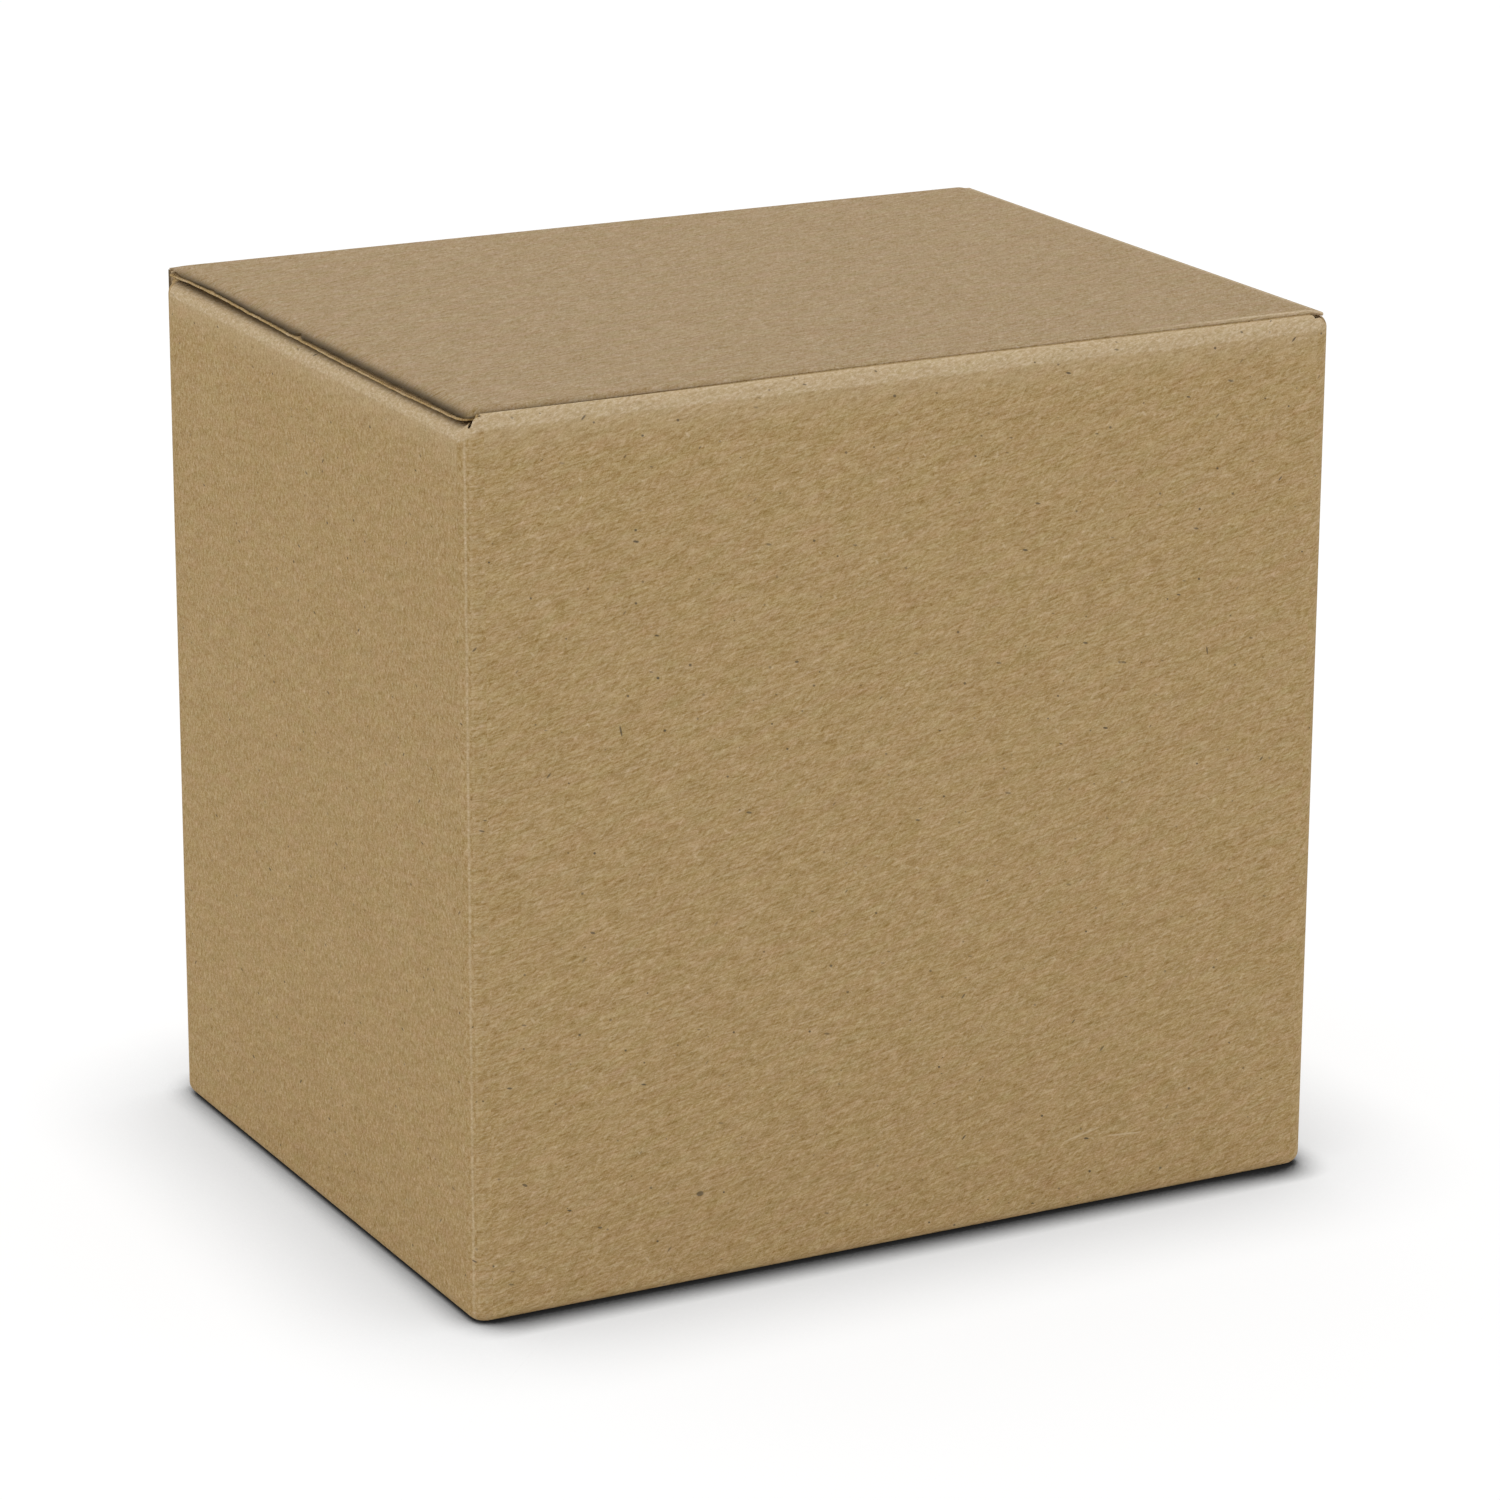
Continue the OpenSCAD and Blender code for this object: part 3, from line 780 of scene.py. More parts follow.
def upright_folds(board, sizes, d):
    """The three folds between the walls. The fourth joins the glue flap to the left wall."""
    x, y, r = HALF_W, HALF_D, sizes.upright_r
    side = (d.side_top - sizes.crease_r, d.side_top - 0.05 * MM)
    front = (FRONT_TOP - sizes.crease_r, FRONT_TOP - 0.45 * MM)
    back = (d.back_top, d.back_top)
    left = -(d.reach_x + d.fold_len)
    rear = d.reach_x + d.fold_len + 2 * d.reach_y
    front_left = [(-x, r - y), (-x, -y), (r - x, -y)]
    front_right = [(x - r, -y), (x, -y), (x, r - y)]
    back_right = [(x, y - r), (x, y), (x - r, y)]
    folds = (
        (front_left, side, front, (0.0, 1.0), left, 0.8 * MM, 0.9, (1, 1)),
        (front_right, front, side, (0.75, 1.0), d.reach_x, 0.9 * MM, 0.5, (1, 0.5)),
        (back_right, side, back, (0.0, 0.6), rear, 0.8 * MM, 0.5, (0.5, 0)),
    )
    for points, first, second, turn, start, slit, scuff, tops in folds:
        levels, ends = zip(first, second)
        upright_fold(board, sizes, points, levels, ends, turn, (start, 0.0), slit, scuff, tops)


def glue_flap(board, sizes, flaps, d):
    """The glue flap inside the back wall, and the fold that joins it to the left wall."""
    inner_y = HALF_D - sizes.board
    tip = flaps.glue_w - HALF_W
    root = sizes.upright_r - HALF_W
    points = [(tip, inner_y), (-HALF_W, inner_y), (-HALF_W, inner_y - sizes.upright_r)]
    route = Route(points, [0, sizes.upright_r, 0], side=1)
    flat = tip - root
    heights = np.linspace(0, 1, 24)[:, None]
    place = upright_place(route, Layers(sizes))
    start = -(d.reach_x + d.fold_len + 2 * d.reach_y) - route.length
    shift = (start, 0.0)

    def on_flap(across):
        """t and s over the flap, whose ends draw in towards its free edge at t = 0."""
        part = 1 - across / flat
        low = flaps.glue_lift + flaps.glue_taper * part
        high = d.glue_top - flaps.glue_taper * part
        return across + 0 * heights, low + (high - low) * heights

    board.panel(place, *on_flap(np.linspace(0, flat, 16)), shift)
    flute_cuts = math.ceil(flat / sizes.pitch * 10)
    board.waved(place, *on_flap(np.linspace(0.15 * MM, flat, flute_cuts)), shift)
    span = route.length - flat
    turn = (0.0, 0.5)
    across = np.linspace(0, 1, 19) * span
    levels = (d.back_top, d.side_top - sizes.crease_r)
    layers = fold_layers(sizes, levels, span, turn, flat)
    top = between(across, span, (d.back_top - 1.0 * MM, d.side_top - 0.05 * MM), turn)
    parts = np.linspace(0, 0.02, 8), np.linspace(0.05, 0.95, 14), np.linspace(0.96, 1, 12)
    up = np.concatenate(parts)[:, None]
    bend_s = FOOT + (top - FOOT) * up
    bend_t = across + flat + 0 * up
    board.panel(upright_place(route, layers), bend_t, bend_s, shift)


def lid_outline(sizes, flaps, d):
    """The lid's route, of panel, back fold and leaning tuck flap, and how far along it the fold
    begins."""
    r = sizes.crease_r
    turn = math.pi / 2 + d.lean
    corner = d.tuck_face - r + r * math.tan(turn / 2)
    trim = r * math.tan(turn / 2)
    down = np.array([-math.sin(d.lean), -math.cos(d.lean)])
    last = np.array([corner, BOX_H]) + down * (trim + flaps.tuck_len)
    route = Route([(d.lid_front, BOX_H), (corner, BOX_H), last], [0, r, 0])
    return route, d.tuck_face - r - d.lid_front


# How far the outer liner is pressed down along the lid's left edge, and how far the inner liner
# hangs there, or is lifted where negative. Each pair is a distance behind the box's middle and a
# press, in millimetres.
CRUSH = (
    (-53, 0.95), (-47, 0.85), (-30, 0.76), (-8, 0.80), (12, 0.84), (24, 0.84), (38, 0.80),
    (47, 0.62), (51, 0.15),
)
SAG = (
    (-53, 0.0), (-46, 0.12), (-32, 0.30), (-14, 0.22), (4, 0.02), (18, -0.20), (32, -0.45),
    (42, -0.42), (50, -0.16),
)


def build_lid(board, sizes, flaps, d):
    """The lid. Its left edge is crushed: the outer liner droops to the inner one, which waves."""
    route, fold_start = lid_outline(sizes, flaps, d)
    fold_end = fold_start + sizes.crease_r * (math.pi / 2 + d.lean)
    reach = LID_HIGH.x
    tuck_half = d.reach_x - flaps.tuck_side
    depth = d.tuck_face - d.lid_front

    def along(s):
        """Place along the lid's left edge, from front to back, as the y of its flat panel."""
        return d.lid_front + s

    def crush(s):
        """The outer liner's press at the left edge, a little uneven."""
        return knots(along(s), CRUSH) * (1 + 0.12 * wobble(s, 31, 17 * MM))

    def sag(s):
        """The inner liner's sag at the left edge, a little uneven."""
        return knots(along(s), SAG) + 0.035 * MM * wobble(s, 37, 7 * MM)

    def dip(t, s):
        """The front end's way down into the scored line."""
        return from_left(t, 0.68 * MM, 0.14 * MM) * smooth(1 - s / (1.1 * MM))

    def panel_share(s):
        """1 on the lid's panel, gone 2 mm past the start of its back fold."""
        return 1 - smooth((s - fold_start) / (2 * MM))

    def dish(t, s):
        """The whole panel's faint sag."""
        lengthwise = np.sin(math.pi * np.clip(s / depth, 0, 1))
        return 0.12 * MM * np.sin(math.pi * (t + reach) / (2 * reach)) * lengthwise

    def press_inner(t, s):
        """The inner liner's wave at the left edge, and the panel's sag."""
        left = smooth(1 - (t + reach) / (9 * MM))
        return (sag(s) * left + dish(t, s)) * panel_share(s)

    def press_outer(t, s):
        """Crush at the left edge, less at the right edge, the panel's sag, and the dip. What is
        left between the liners is at least a thin gap."""
        left = smooth(1 - (t + reach) / (3.6 * MM)) ** 1.3
        right = smooth(1 - (reach - t) / (2.4 * MM)) ** 1.5
        edges = crush(s) * left + 0.4 * MM * right
        press = (edges + dish(t, s)) * panel_share(s) + dip(t, s)
        least_gap = 0.03 * MM
        return np.minimum(press, press_inner(t, s) + sizes.board - 2 * sizes.liner - least_gap)

    layers = Layers(sizes, press_outer, press_inner)
    place = strip_place(route, np.array([0, 0, 0]), X, Y, layers)
    narrow = fold_start + np.array([0.25, 0.8]) * (fold_end - fold_start)
    stops = [corner_stops(route.length, flaps.tuck_corner, -1), np.linspace(0, 1.4, 8) * MM]
    rows = route.rows(0.7 * MM, 18, stops)
    half = reach + (tuck_half - reach) * smooth((rows - narrow[0]) / (narrow[1] - narrow[0]))
    draw = rounding(rows, route.length, flaps.tuck_corner)
    low = draw + rounding(rows, 0, 1.5 * MM) - half
    overhang = 0.35 * MM * (1 - smooth((rows - narrow[0]) / (3 * MM)))
    high = half - draw - rounding(rows, 0, 0.8 * MM) + overhang
    shares = columns(2 * reach, 2.6 * MM)
    ragged = 0.06 * MM * wobble(rows, 41, 5 * MM) + 0.05 * MM * wobble(rows, 43, 2.1 * MM)
    tear = 0.8 * MM * bump(along(rows), 3.5 * MM, 0.5 * MM)
    tear = tear + 0.5 * MM * bump(along(rows), 36 * MM, 0.9 * MM)
    on_panel = panel_share(rows)
    inner_grid = grid(rows, low + (ragged + 0.05 * MM) * on_panel, high, shares)
    outer_low = low + (0.32 * MM + 1.3 * ragged + tear) * on_panel
    outer_grid = grid(rows, outer_low, high, shares)
    front_length = 2 * HALF_D + FRONT_TOP
    shift = (0.0, front_length)

    def wear_and_shade(t, s):
        """Scuffs on the back fold and the front ridge, dirt and painted shade in the crush, painted
        shade in the scored line, frayed paper at the right edge."""
        roll = smooth((s - fold_start + 0.6 * MM) / MM) * (1 - smooth((s - fold_end) / MM)) * 0.4
        ridge = bump(s, 1.1 * MM, 0.7 * MM) * (0.3 + 0.9 * smooth((t - 10 * MM) / (60 * MM)))
        # Dirt and painted shade together along the crushed left edge.
        strength = np.clip(crush(s) / (0.8 * MM), 0, 1) * panel_share(s)
        crushed_dirt_and_shade = bump(t, -reach, 1.5 * MM) * strength
        # Painted shade in the scored line, fading to the right.
        groove = smooth(1 - s / (0.8 * MM)) * from_left(t, 0.65, 0.12)
        frayed = bump(t, reach, 0.25 * MM) * 0.8
        return stack3(np.maximum(roll, ridge), np.maximum(crushed_dirt_and_shade, groove), frayed)

    def inner_wear(t, s):
        """Frayed paper along the inner liner's cut edges, uneven on the left."""
        left = bump(t, -reach, 0.35 * MM) * (0.3 + 0.3 * wobble(s, 47, 13 * MM))
        return stack3(0.0, 0.0, np.clip(left + bump(t, reach, 0.3 * MM), 0, 1))

    board.panel(place, *inner_grid, shift, wear_and_shade, outer_grid, inner_wear)
    wave_low = low + 0.25 * MM * on_panel
    board.waves(place, rows[::2], wave_low[::2], high[::2], shift, per_flute=8)


def build_hinge(name, sizes, d, material, depths, dipped, paper, shade):
    """A liner across the scored line, which laps over both sides a little. Where dipped is 1 it is
    a thin trough as deep as the dips on both sides, plus a little."""
    sheets = Sheets()
    rows = np.linspace(0, sizes.hinge_gap, 9)
    edge_t = np.full(len(rows), d.reach_x)
    t, s = grid(rows, -edge_t, edge_t, np.linspace(0, 1, 80))
    overlap = 0.12 * MM
    trough = 0.12 * MM

    def place(t, s, depth):
        """Place at the share u of the way from the front fold, u = 0, to the lid, u = 1."""
        u = s / sizes.hinge_gap
        y = d.lid_front - sizes.hinge_gap - overlap + (sizes.hinge_gap + 2 * overlap) * u
        dip = from_left(t, 0.66 * MM, 0.16 * MM) + trough * np.sin(math.pi * u)
        z = FRONT_TOP + (BOX_H - FRONT_TOP) * u - dip * dipped - depth
        return np.stack([t, y, z], -1)

    def wear_and_shade(t, s):
        """Painted shade in the scored line, which fades to the right."""
        return stack3(0.0, shade * from_left(t, 1.0, 0.25), 0.0)

    sheets.add(place, t, s, *depths, (0.0, 2 * HALF_D), paper, wear_and_shade)
    hinge = sheets.piece(name, material)
    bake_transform(hinge)


class Number:
    """A shader value. Sums on it add Math nodes."""

    def __init__(self, finish, socket):
        self.finish = finish
        self.socket = socket

    def other(self, output):
        """Another output of the same node."""
        return Number(self.finish, self.socket.node.outputs[output])

    def _math(self, operation, first, second):
        return self.finish.node("ShaderNodeMath", {"operation": operation}, {0: first, 1: second})

    def __add__(self, other):
        return self._math("ADD", self, other)

    def __radd__(self, other):
        return self._math("ADD", other, self)

    def __sub__(self, other):
        return self._math("SUBTRACT", self, other)

    def __rsub__(self, other):
        return self._math("SUBTRACT", other, self)

    def __mul__(self, other):
        return self._math("MULTIPLY", self, other)

    def __rmul__(self, other):
        return self._math("MULTIPLY", other, self)

    def __truediv__(self, other):
        return self._math("DIVIDE", self, other)

    def __pow__(self, other):
        return self._math("POWER", self, other)

    def __abs__(self):
        return self.finish.node("ShaderNodeMath", {"operation": "ABSOLUTE"}, {0: self})


class Finish:
    """The look of a material or of the world, and the nodes in it."""

    def __init__(self, owner):
        self.owner = owner
        owner.use_nodes = True
        self.tree = owner.node_tree
        self.tree.nodes.clear()

    def node(self, kind, settings=None, values=None, output=0):
        """Adds a node, sets it up, fills its sockets with values or links, returns an output."""
        node = self.tree.nodes.new(kind)
        for key, value in (settings or {}).items():
            setattr(node, key, value)
        for key, value in (values or {}).items():
            if isinstance(value, Number):
                self.tree.links.new(value.socket, node.inputs[key])
            else:
                node.inputs[key].default_value = value
        return Number(self, node.outputs[output])

    def vector(self, operation, first, second):
        return self.node("ShaderNodeVectorMath", {"operation": operation}, {0: first, 1: second})

    def split(self, vector, part):
        return self.node("ShaderNodeSeparateXYZ", {}, {0: vector}, output=part)

    def step(self, value, start, end):
        """0 before start, 1 past end, smooth between."""
        settings = {"interpolation_type": "SMOOTHSTEP"}
        values = {0: value, 1: start, 2: end, 3: 0.0, 4: 1.0}
        return self.node("ShaderNodeMapRange", settings, values)

    def mix(self, first, second, factor, blend="MIX"):
        settings = {"data_type": "RGBA", "blend_type": blend}
        return self.node("ShaderNodeMix", settings, {0: factor, 6: first, 7: second}, output=2)

    def turned(self, vector, angle, scale):
        """The vector turned in its plane, then scaled along each axis."""
        settings = {"rotation_type": "Z_AXIS"}
        spun = self.node("ShaderNodeVectorRotate", settings, {"Vector": vector, "Angle": angle})
        return self.vector("MULTIPLY", spun, scale)

    def noise(self, vector, scale=1.0, detail=2.0, rough=0.55, bend=0.0):
        values = {"Vector": vector, "Scale": scale, "Detail": detail}
        values |= {"Roughness": rough, "Distortion": bend}
        return self.node("ShaderNodeTexNoise", {}, values)

    def attribute(self, name):
        return self.node("ShaderNodeAttribute", {"attribute_name": name}, {}, output=1)

    def place_on_sheet(self):
        """Place on the flat sheet, in millimetres."""
        return self.vector("MULTIPLY", self.attribute("sheet"), (1000.0, 1000.0, 1000.0))

    def flecks(self, vector, angle, cell, size, keep):
        """Short flecks, one at most in each cell, in a share keep of the cells: above 0 inside, 0
        outside. size is their share of a cell."""
        place = self.turned(vector, angle, (1 / cell[0], 1 / cell[1], 0.0))
        settings = {"feature": "F1", "voronoi_dimensions": "2D"}
        near = self.node("ShaderNodeTexVoronoi", settings, {"Vector": place, "Scale": 1.0})
        tint = near.other(1)
        chosen = self.step(self.split(tint, 0), 1 - keep, 1 - keep + 0.02)
        grown = self.split(tint, 1) * size + 0.4 * size
        strength = self.split(tint, 2) * 0.6 + 0.4
        return (1 - self.step(near / grown, 0.45, 1.0)) * chosen * strength

    def seen_mix(self, lighting, seen):
        """One look for the light that the surroundings give, another for what the camera sees,
        also in reflections and through clear things."""
        ray = self.node("ShaderNodeLightPath", output=0)
        seen_rays = ray + ray.other("Is Glossy Ray") + ray.other("Is Transmission Ray")
        return self.node("ShaderNodeMixShader", {}, {0: seen_rays, 1: lighting, 2: seen})

    def paper(self, tone, rough, relief, strength, depth):
        """Matt paper, with a relief of a strength and a depth."""
        values = {"Strength": strength, "Distance": depth, "Height": relief}
        normal = self.node("ShaderNodeBump", {}, values)
        values = {"Base Color": tone, "Roughness": rough, "Normal": normal}
        values |= {"Specular IOR Level": 0.1}
        return self.end(self.node("ShaderNodeBsdfPrincipled", {}, values))

    def end(self, shader, kind="ShaderNodeOutputMaterial"):
        output = self.tree.nodes.new(kind)
        self.tree.links.new(shader.socket, output.inputs["Surface"])
        return self.owner


def rgba(values):
    """A colour with full alpha."""
    return (*values, 1.0)


def marks_on(f, p, marks):
    """Single marks at known places on the sheet: 1 in the middle of an ellipse, 0 outside it."""
    total = None
    for x, y, long, wide, angle in marks:
        moved = f.vector("SUBTRACT", p, (x, y, 0.0))
        local = f.turned(moved, math.radians(angle), (1 / long, 1 / wide, 0.0))
        distance = f.node("ShaderNodeVectorMath", {"operation": "LENGTH"}, {0: local}, output=1)
        inside = 1 - f.step(distance, 0.5, 1.0)
        total = inside if total is None else total + inside
    return total


# Dark flecks in the paper: the turn of their cells in radians, the cells' size in millimetres, the
# flecks' share of a cell and the share of cells that hold one. They are fibres along the grain,
# fibres across it, and specks.
DARK_FLECKS = (
    (0.25, (7.0, 2.4), 0.07, 0.1),
    (-0.8, (8.0, 2.6), 0.06, 0.07),
    (0.4, (4.0, 3.2), 0.06, 0.2),
)
PALE_FLECKS = (0.9, (7.0, 2.6), 0.07, 0.2)


def kraft(name, tone, finish, strokes, angle, spots, sides=(), marks=(), scratches=()):
    """Unbleached kraft liner: long fibres across the flutes, fine felted grain, slow clouds of
    tone, bark specks, scuffed folds, a dark crushed edge of dirt and painted shade together, and
    painted shade in the scored line, under the lid and along the back wall's seam edge. strokes is
    the fibres' contrast, angle their slant and spots the specks' contrast. Between the two
    distances in sides, in millimetres round the sheet, the grain is felted and finer, and the tone
    is a little darker: painted shade on the side walls."""
    f = Finish(bpy.data.materials.new(name))
    p = f.place_on_sheet()
    worn_and_shaded = f.attribute("wear_and_shade")
    scuffed, dirt_and_shade, frayed = (f.split(worn_and_shaded, i) for i in range(3))
    inside = f.step(f.split(p, 2), 20.0, 50.0)
    grain = f.turned(p, angle, (0.42, 2.3, 1.0))
    side = 0.0
    if sides:
        around = abs(f.split(p, 0))
        past_start = f.step(around, sides[0], sides[0] + 0.01)
        side = past_start * (1 - f.step(around, sides[1], sides[1] + 0.01))
        felted = f.turned(p, 1.2, (1.1, 2.0, 1.0))
        values = {0: side, 4: grain, 5: felted}
        grain = f.node("ShaderNodeMix", {"data_type": "VECTOR"}, values, output=1)
    fibre = f.noise(grain, detail=3.0, rough=0.72, bend=0.6)
    crossing = f.turned(p, angle - 0.75, (0.7, 2.8, 1.0))
    across = f.noise(crossing, detail=2.0, rough=0.65, bend=0.5)
    felt = f.noise(f.turned(p, angle * 0.5, (1.6, 3.4, 1.0)), detail=2.0, rough=0.75)
    fine = f.noise(p, scale=6.0, detail=1.0, rough=0.7)
    cloud = f.noise(p, scale=0.09, detail=2.0, rough=0.5)
    patch = f.noise(f.turned(p, angle, (0.2, 0.6, 1.0)), detail=3.0, rough=0.6)
    layers = ((fibre, 1.9), (across, 1.0), (felt, 1.3), (fine, 1.0), (patch, 0.35))
    value = 1.0
    for layer, weight in layers:
        value = value + (layer - 0.5) * (weight * strokes)
    # Painted shade: the side walls' tone is 2.5 per cent darker than the front's.
    value = value + (cloud - 0.5) * 0.08 - inside * 0.07 - side * 0.025
    liner_tone = f.mix(rgba(tone), rgba(finish.wall), inside)
    base = f.mix(liner_tone, patch.other(1), 0.10, "SOFT_LIGHT")
    shades = f.node("ShaderNodeCombineXYZ", {}, {0: value, 1: value**1.3, 2: value**2.2})
    look = f.vector("MULTIPLY", base, shades)
    pale = rgba(finish.scuff)
    dark = rgba(finish.speck)
    mottle = f.noise(f.turned(p, angle, (1.1, 2.4, 1.0)), detail=3.0, rough=0.8)
    look = f.mix(look, pale, f.step(scuffed, 0.2, 1.1) * 0.26)
    look = f.mix(look, pale, f.step(scuffed * 0.62 + (mottle - 0.5) * 1.6, 0.46, 0.95) * 0.95)
    look = f.mix(look, pale, f.step(frayed + (fine - 0.5) * 0.6, 0.2, 0.9) * 0.7)
    # Painted shade where the shade channel is set; on the crushed lid edge it is dirt as well.
    shade_and_grime = f.step(dirt_and_shade + (fibre - 0.5) * 0.35, 0.0, 1.1)
    look = f.mix(look, rgba(finish.shade_and_grime), shade_and_grime * 0.95)
    flecked = 0.0
    for fleck in DARK_FLECKS:
        values = {0: f.flecks(p, *fleck), 1: flecked}
        flecked = f.node("ShaderNodeMath", {"operation": "MAXIMUM"}, values)
    look = f.mix(look, dark, flecked * spots)
    look = f.mix(look, pale, f.flecks(p, *PALE_FLECKS) * 0.45)
    if marks:
        look = f.mix(look, dark, f.step(marks_on(f, p, marks), 0.0, 1.0) * 0.7)
    if scratches:
        rubbed = marks_on(f, p, scratches) + (fine - 0.5) * 0.8
        look = f.mix(look, pale, f.step(rubbed, 0.2, 1.0) * 0.5)
    return f.paper(look, 0.80 + (felt - 0.5) * 0.2, fibre * 0.8 + felt * 0.5, 0.6, 0.12 * MM)


def fluting(name, finish):
    """The fluted sheet: rough, browner paper with a faint felted grain."""
    f = Finish(bpy.data.materials.new(name))
    felt = f.noise(f.turned(f.place_on_sheet(), 0.0, (1.2, 3.0, 1.0)), detail=3.0, rough=0.65)
    value = 0.8 + felt * 0.4
    shade = f.node("ShaderNodeCombineXYZ", {}, {0: value, 1: value, 2: value})
    tone = f.vector("MULTIPLY", tuple(finish.core), shade)
    return f.paper(tone, 0.75 + felt * 0.25, felt, 0.3, 0.05 * MM)


# Single marks of the front wall: x, y, half length and half width in millimetres, and the turn in
# degrees.
FRONT_MARKS = (
    (-46.6, 83.2, 1.05, 0.2, 78.0),
    (-18.8, 89.6, 0.42, 0.22, 10.0),
    (49.7, 82.4, 0.8, 0.16, 80.0),
    (-51.1, 54.2, 0.55, 0.22, 20.0),
    (-34.1, 11.9, 0.75, 0.5, 0.0),
    (-62.0, 18.2, 0.6, 0.24, 30.0),
    (-50.2, 9.6, 0.5, 0.2, 15.0),
)
FRONT_SCRATCHES = (
    (30.0, 9.8, 4.5, 0.22, -12.0),
    (37.5, 8.6, 4.0, 0.2, 4.0),
    (-52.7, 117.4, 0.6, 0.16, 120.0),
)


class CARTON_OT_carton(bpy.types.Operator):
    """Builds the carton: walls, folds, dust flaps, glue flap and bottom closure"""

    bl_idname = "kraft.carton"
    bl_label = "Build carton"

    def execute(self, context):
        scene = context.scene
        sizes, flaps, finish = scene.board_sizes, scene.flap_sizes, scene.kraft_finish
        d = Derived(sizes, flaps)
        board = Board(sizes)
        front_strip(board, sizes, flaps, d)
        side_strip(board, sizes, flaps, d, left=True)
        side_strip(board, sizes, flaps, d, left=False)
        back_strip(board, sizes, flaps, d)
        glue_flap(board, sizes, flaps, d)
        upright_folds(board, sizes, d)
        side_start = (d.reach_x + d.fold_len / 2) / MM
        sides = (side_start, side_start + (2 * d.reach_y + d.fold_len) / MM)
        marked = {"sides": sides, "marks": FRONT_MARKS, "scratches": FRONT_SCRATCHES}
        paper = kraft("kraft_board", finish.wall, finish, finish.grain, -0.22, 0.85, **marked)
        liners = board.liners.piece("carton_liners", paper)
        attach(liners, "carton")
        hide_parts("carton")
        flutes = board.flutes.piece("carton_flutes", fluting("carton_fluting", finish))
        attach(flutes, "carton")
        return {"FINISHED"}


class CARTON_OT_lid(bpy.types.Operator):
    """Builds the lid with its tuck flap, and the liner across the scored line"""

    bl_idname = "kraft.lid"
    bl_label = "Build lid"

    def execute(self, context):
        scene = context.scene
        sizes, flaps, finish = scene.board_sizes, scene.flap_sizes, scene.kraft_finish
        d = Derived(sizes, flaps)
        board = Board(sizes)
        build_lid(board, sizes, flaps, d)
        # The lid's tone carries a painted sheen; its inner liner takes the walls' tone.
        paper = kraft("kraft_lid", finish.lid, finish, finish.grain, -0.28, 0.3)
        liners = board.liners.piece("lid_liners", paper)
        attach(liners, "lid")
        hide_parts("lid")
        flutes = board.flutes.piece("lid_flutes", fluting("lid_fluting", finish))
        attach(flutes, "lid")
        board_paper = bpy.data.objects["carton_liners"].data.materials[0]
        # Both liners across the scored line carry painted shade: 0.45 on the outer one, 0.15 on the
        # inner one.
        outer = (0.0, 0.8 * sizes.liner)
        build_hinge("hinge_liner", sizes, d, board_paper, outer, 1.0, OUTER_PAPER, 0.45)
        below = sizes.board + 0.02 * MM
        inner = (below - sizes.liner, below)
        build_hinge("hinge_inner_liner", sizes, d, board_paper, inner, 0.0, INNER_PAPER, 0.15)
        return {"FINISHED"}


class CARTON_OT_stage(bpy.types.Operator):
    """Sets the floor, the light and the camera"""

    bl_idname = "kraft.stage"
    bl_label = "Set stage"

    def execute(self, context):
        scene = context.scene
        stage = scene.stage_settings
        build_floor()
        build_world(scene, stage)
        build_lamp(scene, stage)
        build_camera(scene, stage)
        scene.view_settings.view_transform = "Standard"
        return {"FINISHED"}


def build_floor():
    """A wide flat floor, dark where something stands close over it and otherwise white to the
    camera. The close shade looks along a leaning direction, so that it meets the wall beside it,
    and leans the other way at the box's right end."""
    reach = 6.0
    below = -0.05 * MM
    corners = np.array([[-1, -1, 0], [1, -1, 0], [1, 1, 0], [-1, 1, 0]], float) * reach
    corners[:, 2] = below
    mesh = bpy.data.meshes.new("floor")
    mesh.from_pydata(corners.tolist(), [], [(0, 1, 2, 3)])
    floor = bpy.data.objects.new("floor", mesh)
    bpy.context.scene.collection.objects.link(floor)
    f = Finish(bpy.data.materials.new("pale_floor"))
    position = f.node("ShaderNodeNewGeometry")
    lean = f.step(f.split(position, 0), 0.05, 0.08) * 1.1 - 0.55
    tilt = f.node("ShaderNodeCombineXYZ", {}, {0: lean, 1: 0.1, 2: 0.85})
    close_by = {"Distance": 6.2 * MM, "Normal": tilt}
    near = f.node("ShaderNodeAmbientOcclusion", {"samples": 8}, close_by, output=1)
    around = {"Distance": 30 * MM}
    wide = f.node("ShaderNodeAmbientOcclusion", {"samples": 8}, around, output=1)
    close = f.node("ShaderNodeClamp", {}, {0: near * 2.2 - 1.2, 1: 0.03, 2: 1.0})
    tone = close * (wide * 0.62 + 0.38)
    shade = f.node("ShaderNodeCombineXYZ", {}, {0: tone, 1: tone, 2: tone})
    paper = f.node("ShaderNodeBsdfDiffuse", {}, {"Color": (0.9, 0.9, 0.9, 1.0)})
    lit = f.node("ShaderNodeBsdfDiffuse", {}, {"Color": shade})
    white = f.node("ShaderNodeEmission", {}, {"Color": shade, "Strength": 1.04})
    seen = f.node("ShaderNodeMixShader", {}, {0: 0.8, 1: lit, 2: white})
    mesh.materials.append(f.end(f.seen_mix(paper, seen)))


def build_world(scene, stage):
    """An even surround that lights the carton, and plain white to the camera."""
    f = Finish(bpy.data.worlds.new("surround"))
    light = f.node("ShaderNodeBackground", {}, {"Color": (1, 1, 1, 1), "Strength": stage.sky})
    white = f.node("ShaderNodeBackground", {}, {"Color": (1, 1, 1, 1), "Strength": 1.0})
    scene.world = f.end(f.seen_mix(light, white), "ShaderNodeOutputWorld")


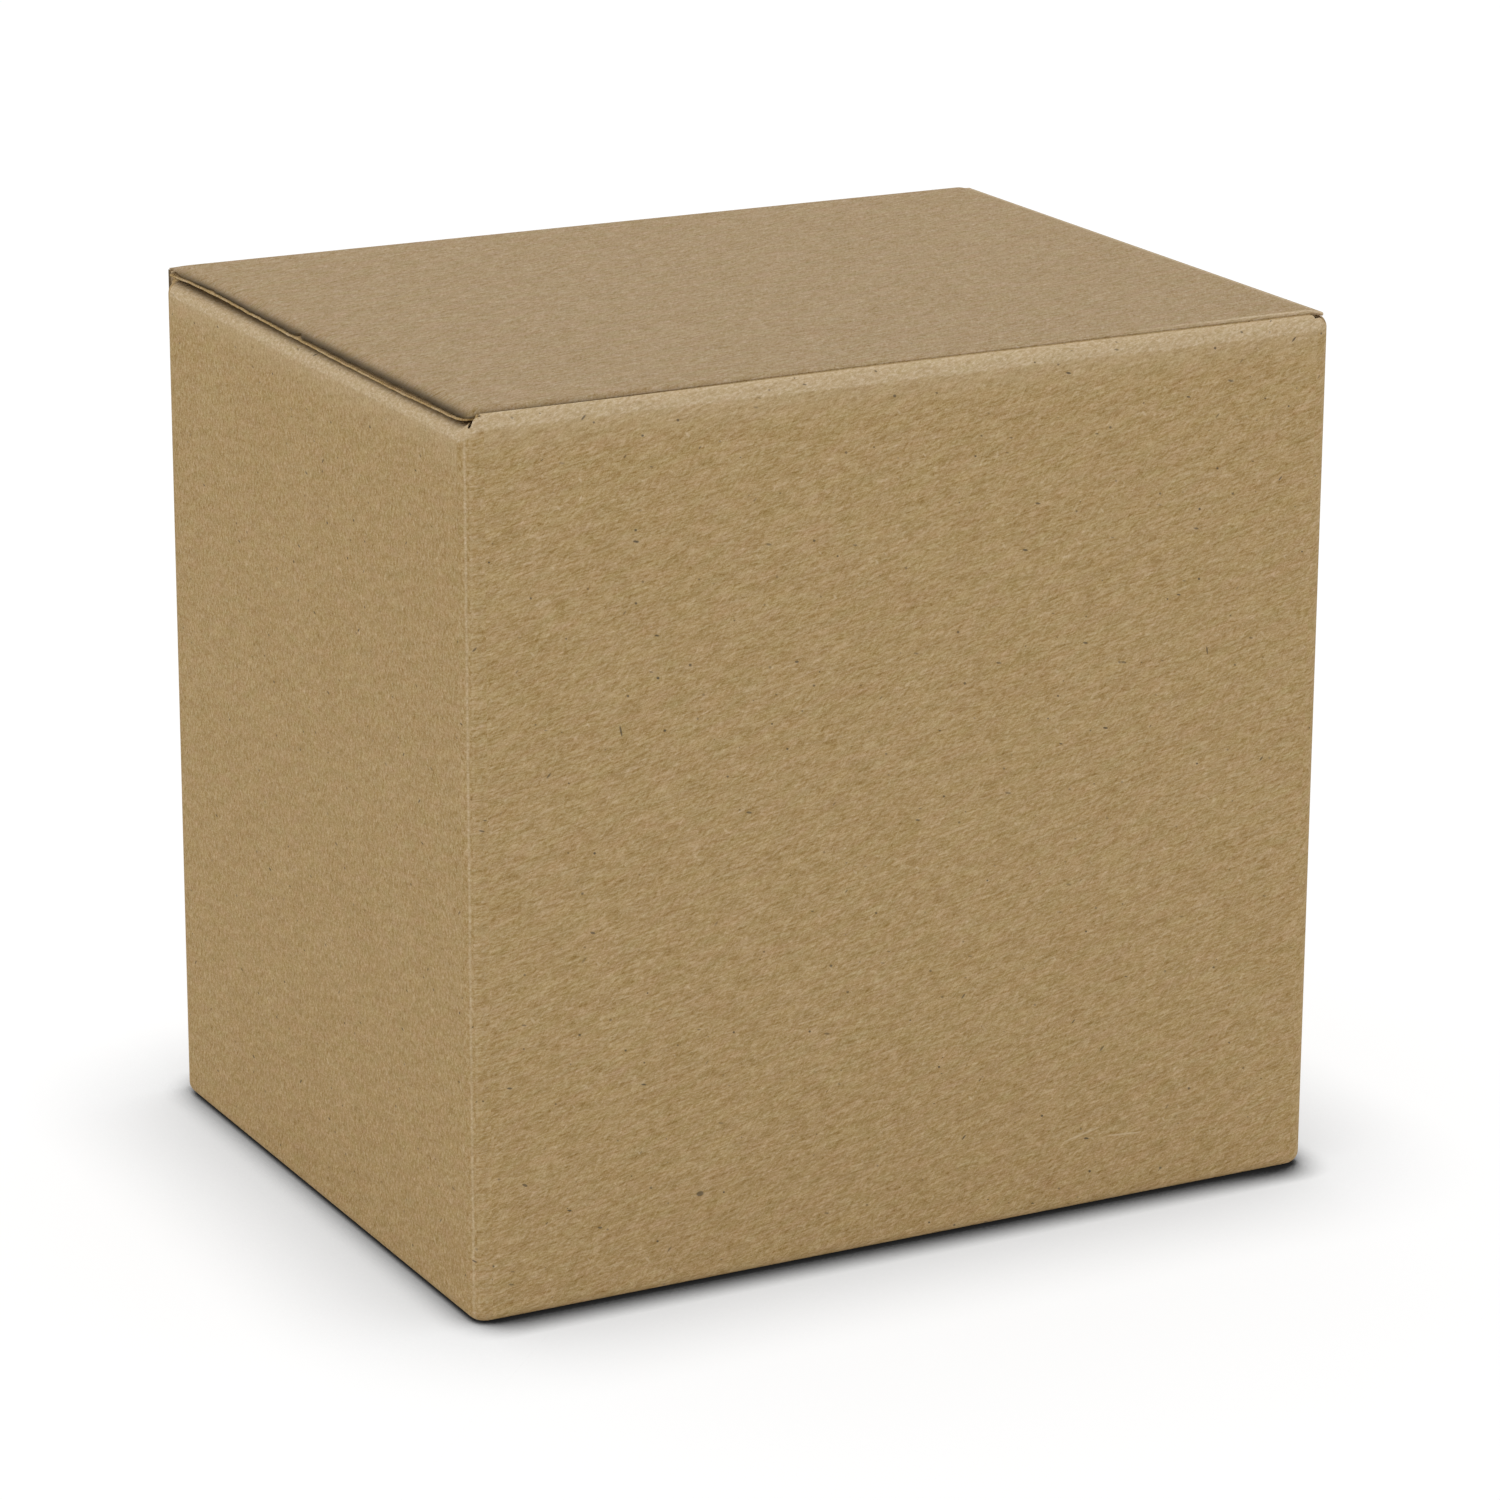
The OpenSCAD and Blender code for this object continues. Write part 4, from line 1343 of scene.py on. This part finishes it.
def build_lamp(scene, stage):
    """One wide soft lamp above and behind, so that the shadow falls towards the camera."""
    data = bpy.data.lights.new("soft_lamp", "AREA")
    data.shape = "RECTANGLE"
    data.size = 0.8
    data.size_y = 0.5
    data.energy = stage.lamp
    lamp = bpy.data.objects.new("soft_lamp", data)
    lamp.location = (0.0, 0.5, 0.9)
    lamp.rotation_mode = "QUATERNION"
    lamp.rotation_quaternion = Vector((0.0, -0.5, -0.85)).to_track_quat("-Z", "Y")
    scene.collection.objects.link(lamp)


def build_camera(scene, stage):
    """A long lens at the photo's angle. Its axes are the view's right and up, turned by roll."""
    a, e, o = stage.azimuth, stage.elevation, stage.roll
    back = Vector((math.sin(a) * math.cos(e), -math.cos(a) * math.cos(e), math.sin(e)))
    right = Vector((math.cos(a), math.sin(a), 0))
    up = back.cross(right)
    centre = Vector((0, 0, BOX_H / 2)) + right * stage.target_right + up * stage.target_up
    rolled_right = right * math.cos(o) + up * math.sin(o)
    rolled_up = up * math.cos(o) - right * math.sin(o)
    data = bpy.data.cameras.new("camera")
    data.lens = data.sensor_width * stage.focal_length
    data.clip_start = 0.05
    data.clip_end = 50
    camera = bpy.data.objects.new("camera", data)
    rows = Matrix((rolled_right, rolled_up, back)).transposed()
    camera.matrix_world = Matrix.Translation(centre + back * stage.distance) @ rows.to_4x4()
    scene.collection.objects.link(camera)
    scene.camera = camera


class CARTON_PT_panel(bpy.types.Panel):
    """Lists the carton's steps"""

    bl_label = "Kraft Carton"
    bl_idname = "CARTON_PT_panel"
    bl_space_type = "VIEW_3D"
    bl_region_type = "UI"
    bl_category = "Carton"

    def draw(self, context):
        for operator in OPERATORS:
            self.layout.operator(operator.bl_idname)


GROUPS = {
    "board_sizes": BoardSizes,
    "flap_sizes": FlapSizes,
    "kraft_finish": KraftFinish,
    "stage_settings": StageSettings,
}
OPERATORS = (CARTON_OT_carton, CARTON_OT_lid, CARTON_OT_stage)


def register():
    """Adds the add-on's settings, steps and panel."""
    for group in GROUPS.values():
        bpy.utils.register_class(group)
    for name, group in GROUPS.items():
        setattr(bpy.types.Scene, name, PointerProperty(type=group))
    for operator in OPERATORS:
        bpy.utils.register_class(operator)
    bpy.utils.register_class(CARTON_PT_panel)


def unregister():
    """Takes them out again."""
    bpy.utils.unregister_class(CARTON_PT_panel)
    for operator in reversed(OPERATORS):
        bpy.utils.unregister_class(operator)
    for name in GROUPS:
        delattr(bpy.types.Scene, name)
    for group in reversed(GROUPS.values()):
        bpy.utils.unregister_class(group)


def main():
    """Registers the add-on and builds everything."""
    register()
    bpy.ops.kraft.carton()
    bpy.ops.kraft.lid()
    bpy.ops.kraft.stage()


if __name__ == "__main__":
    main()
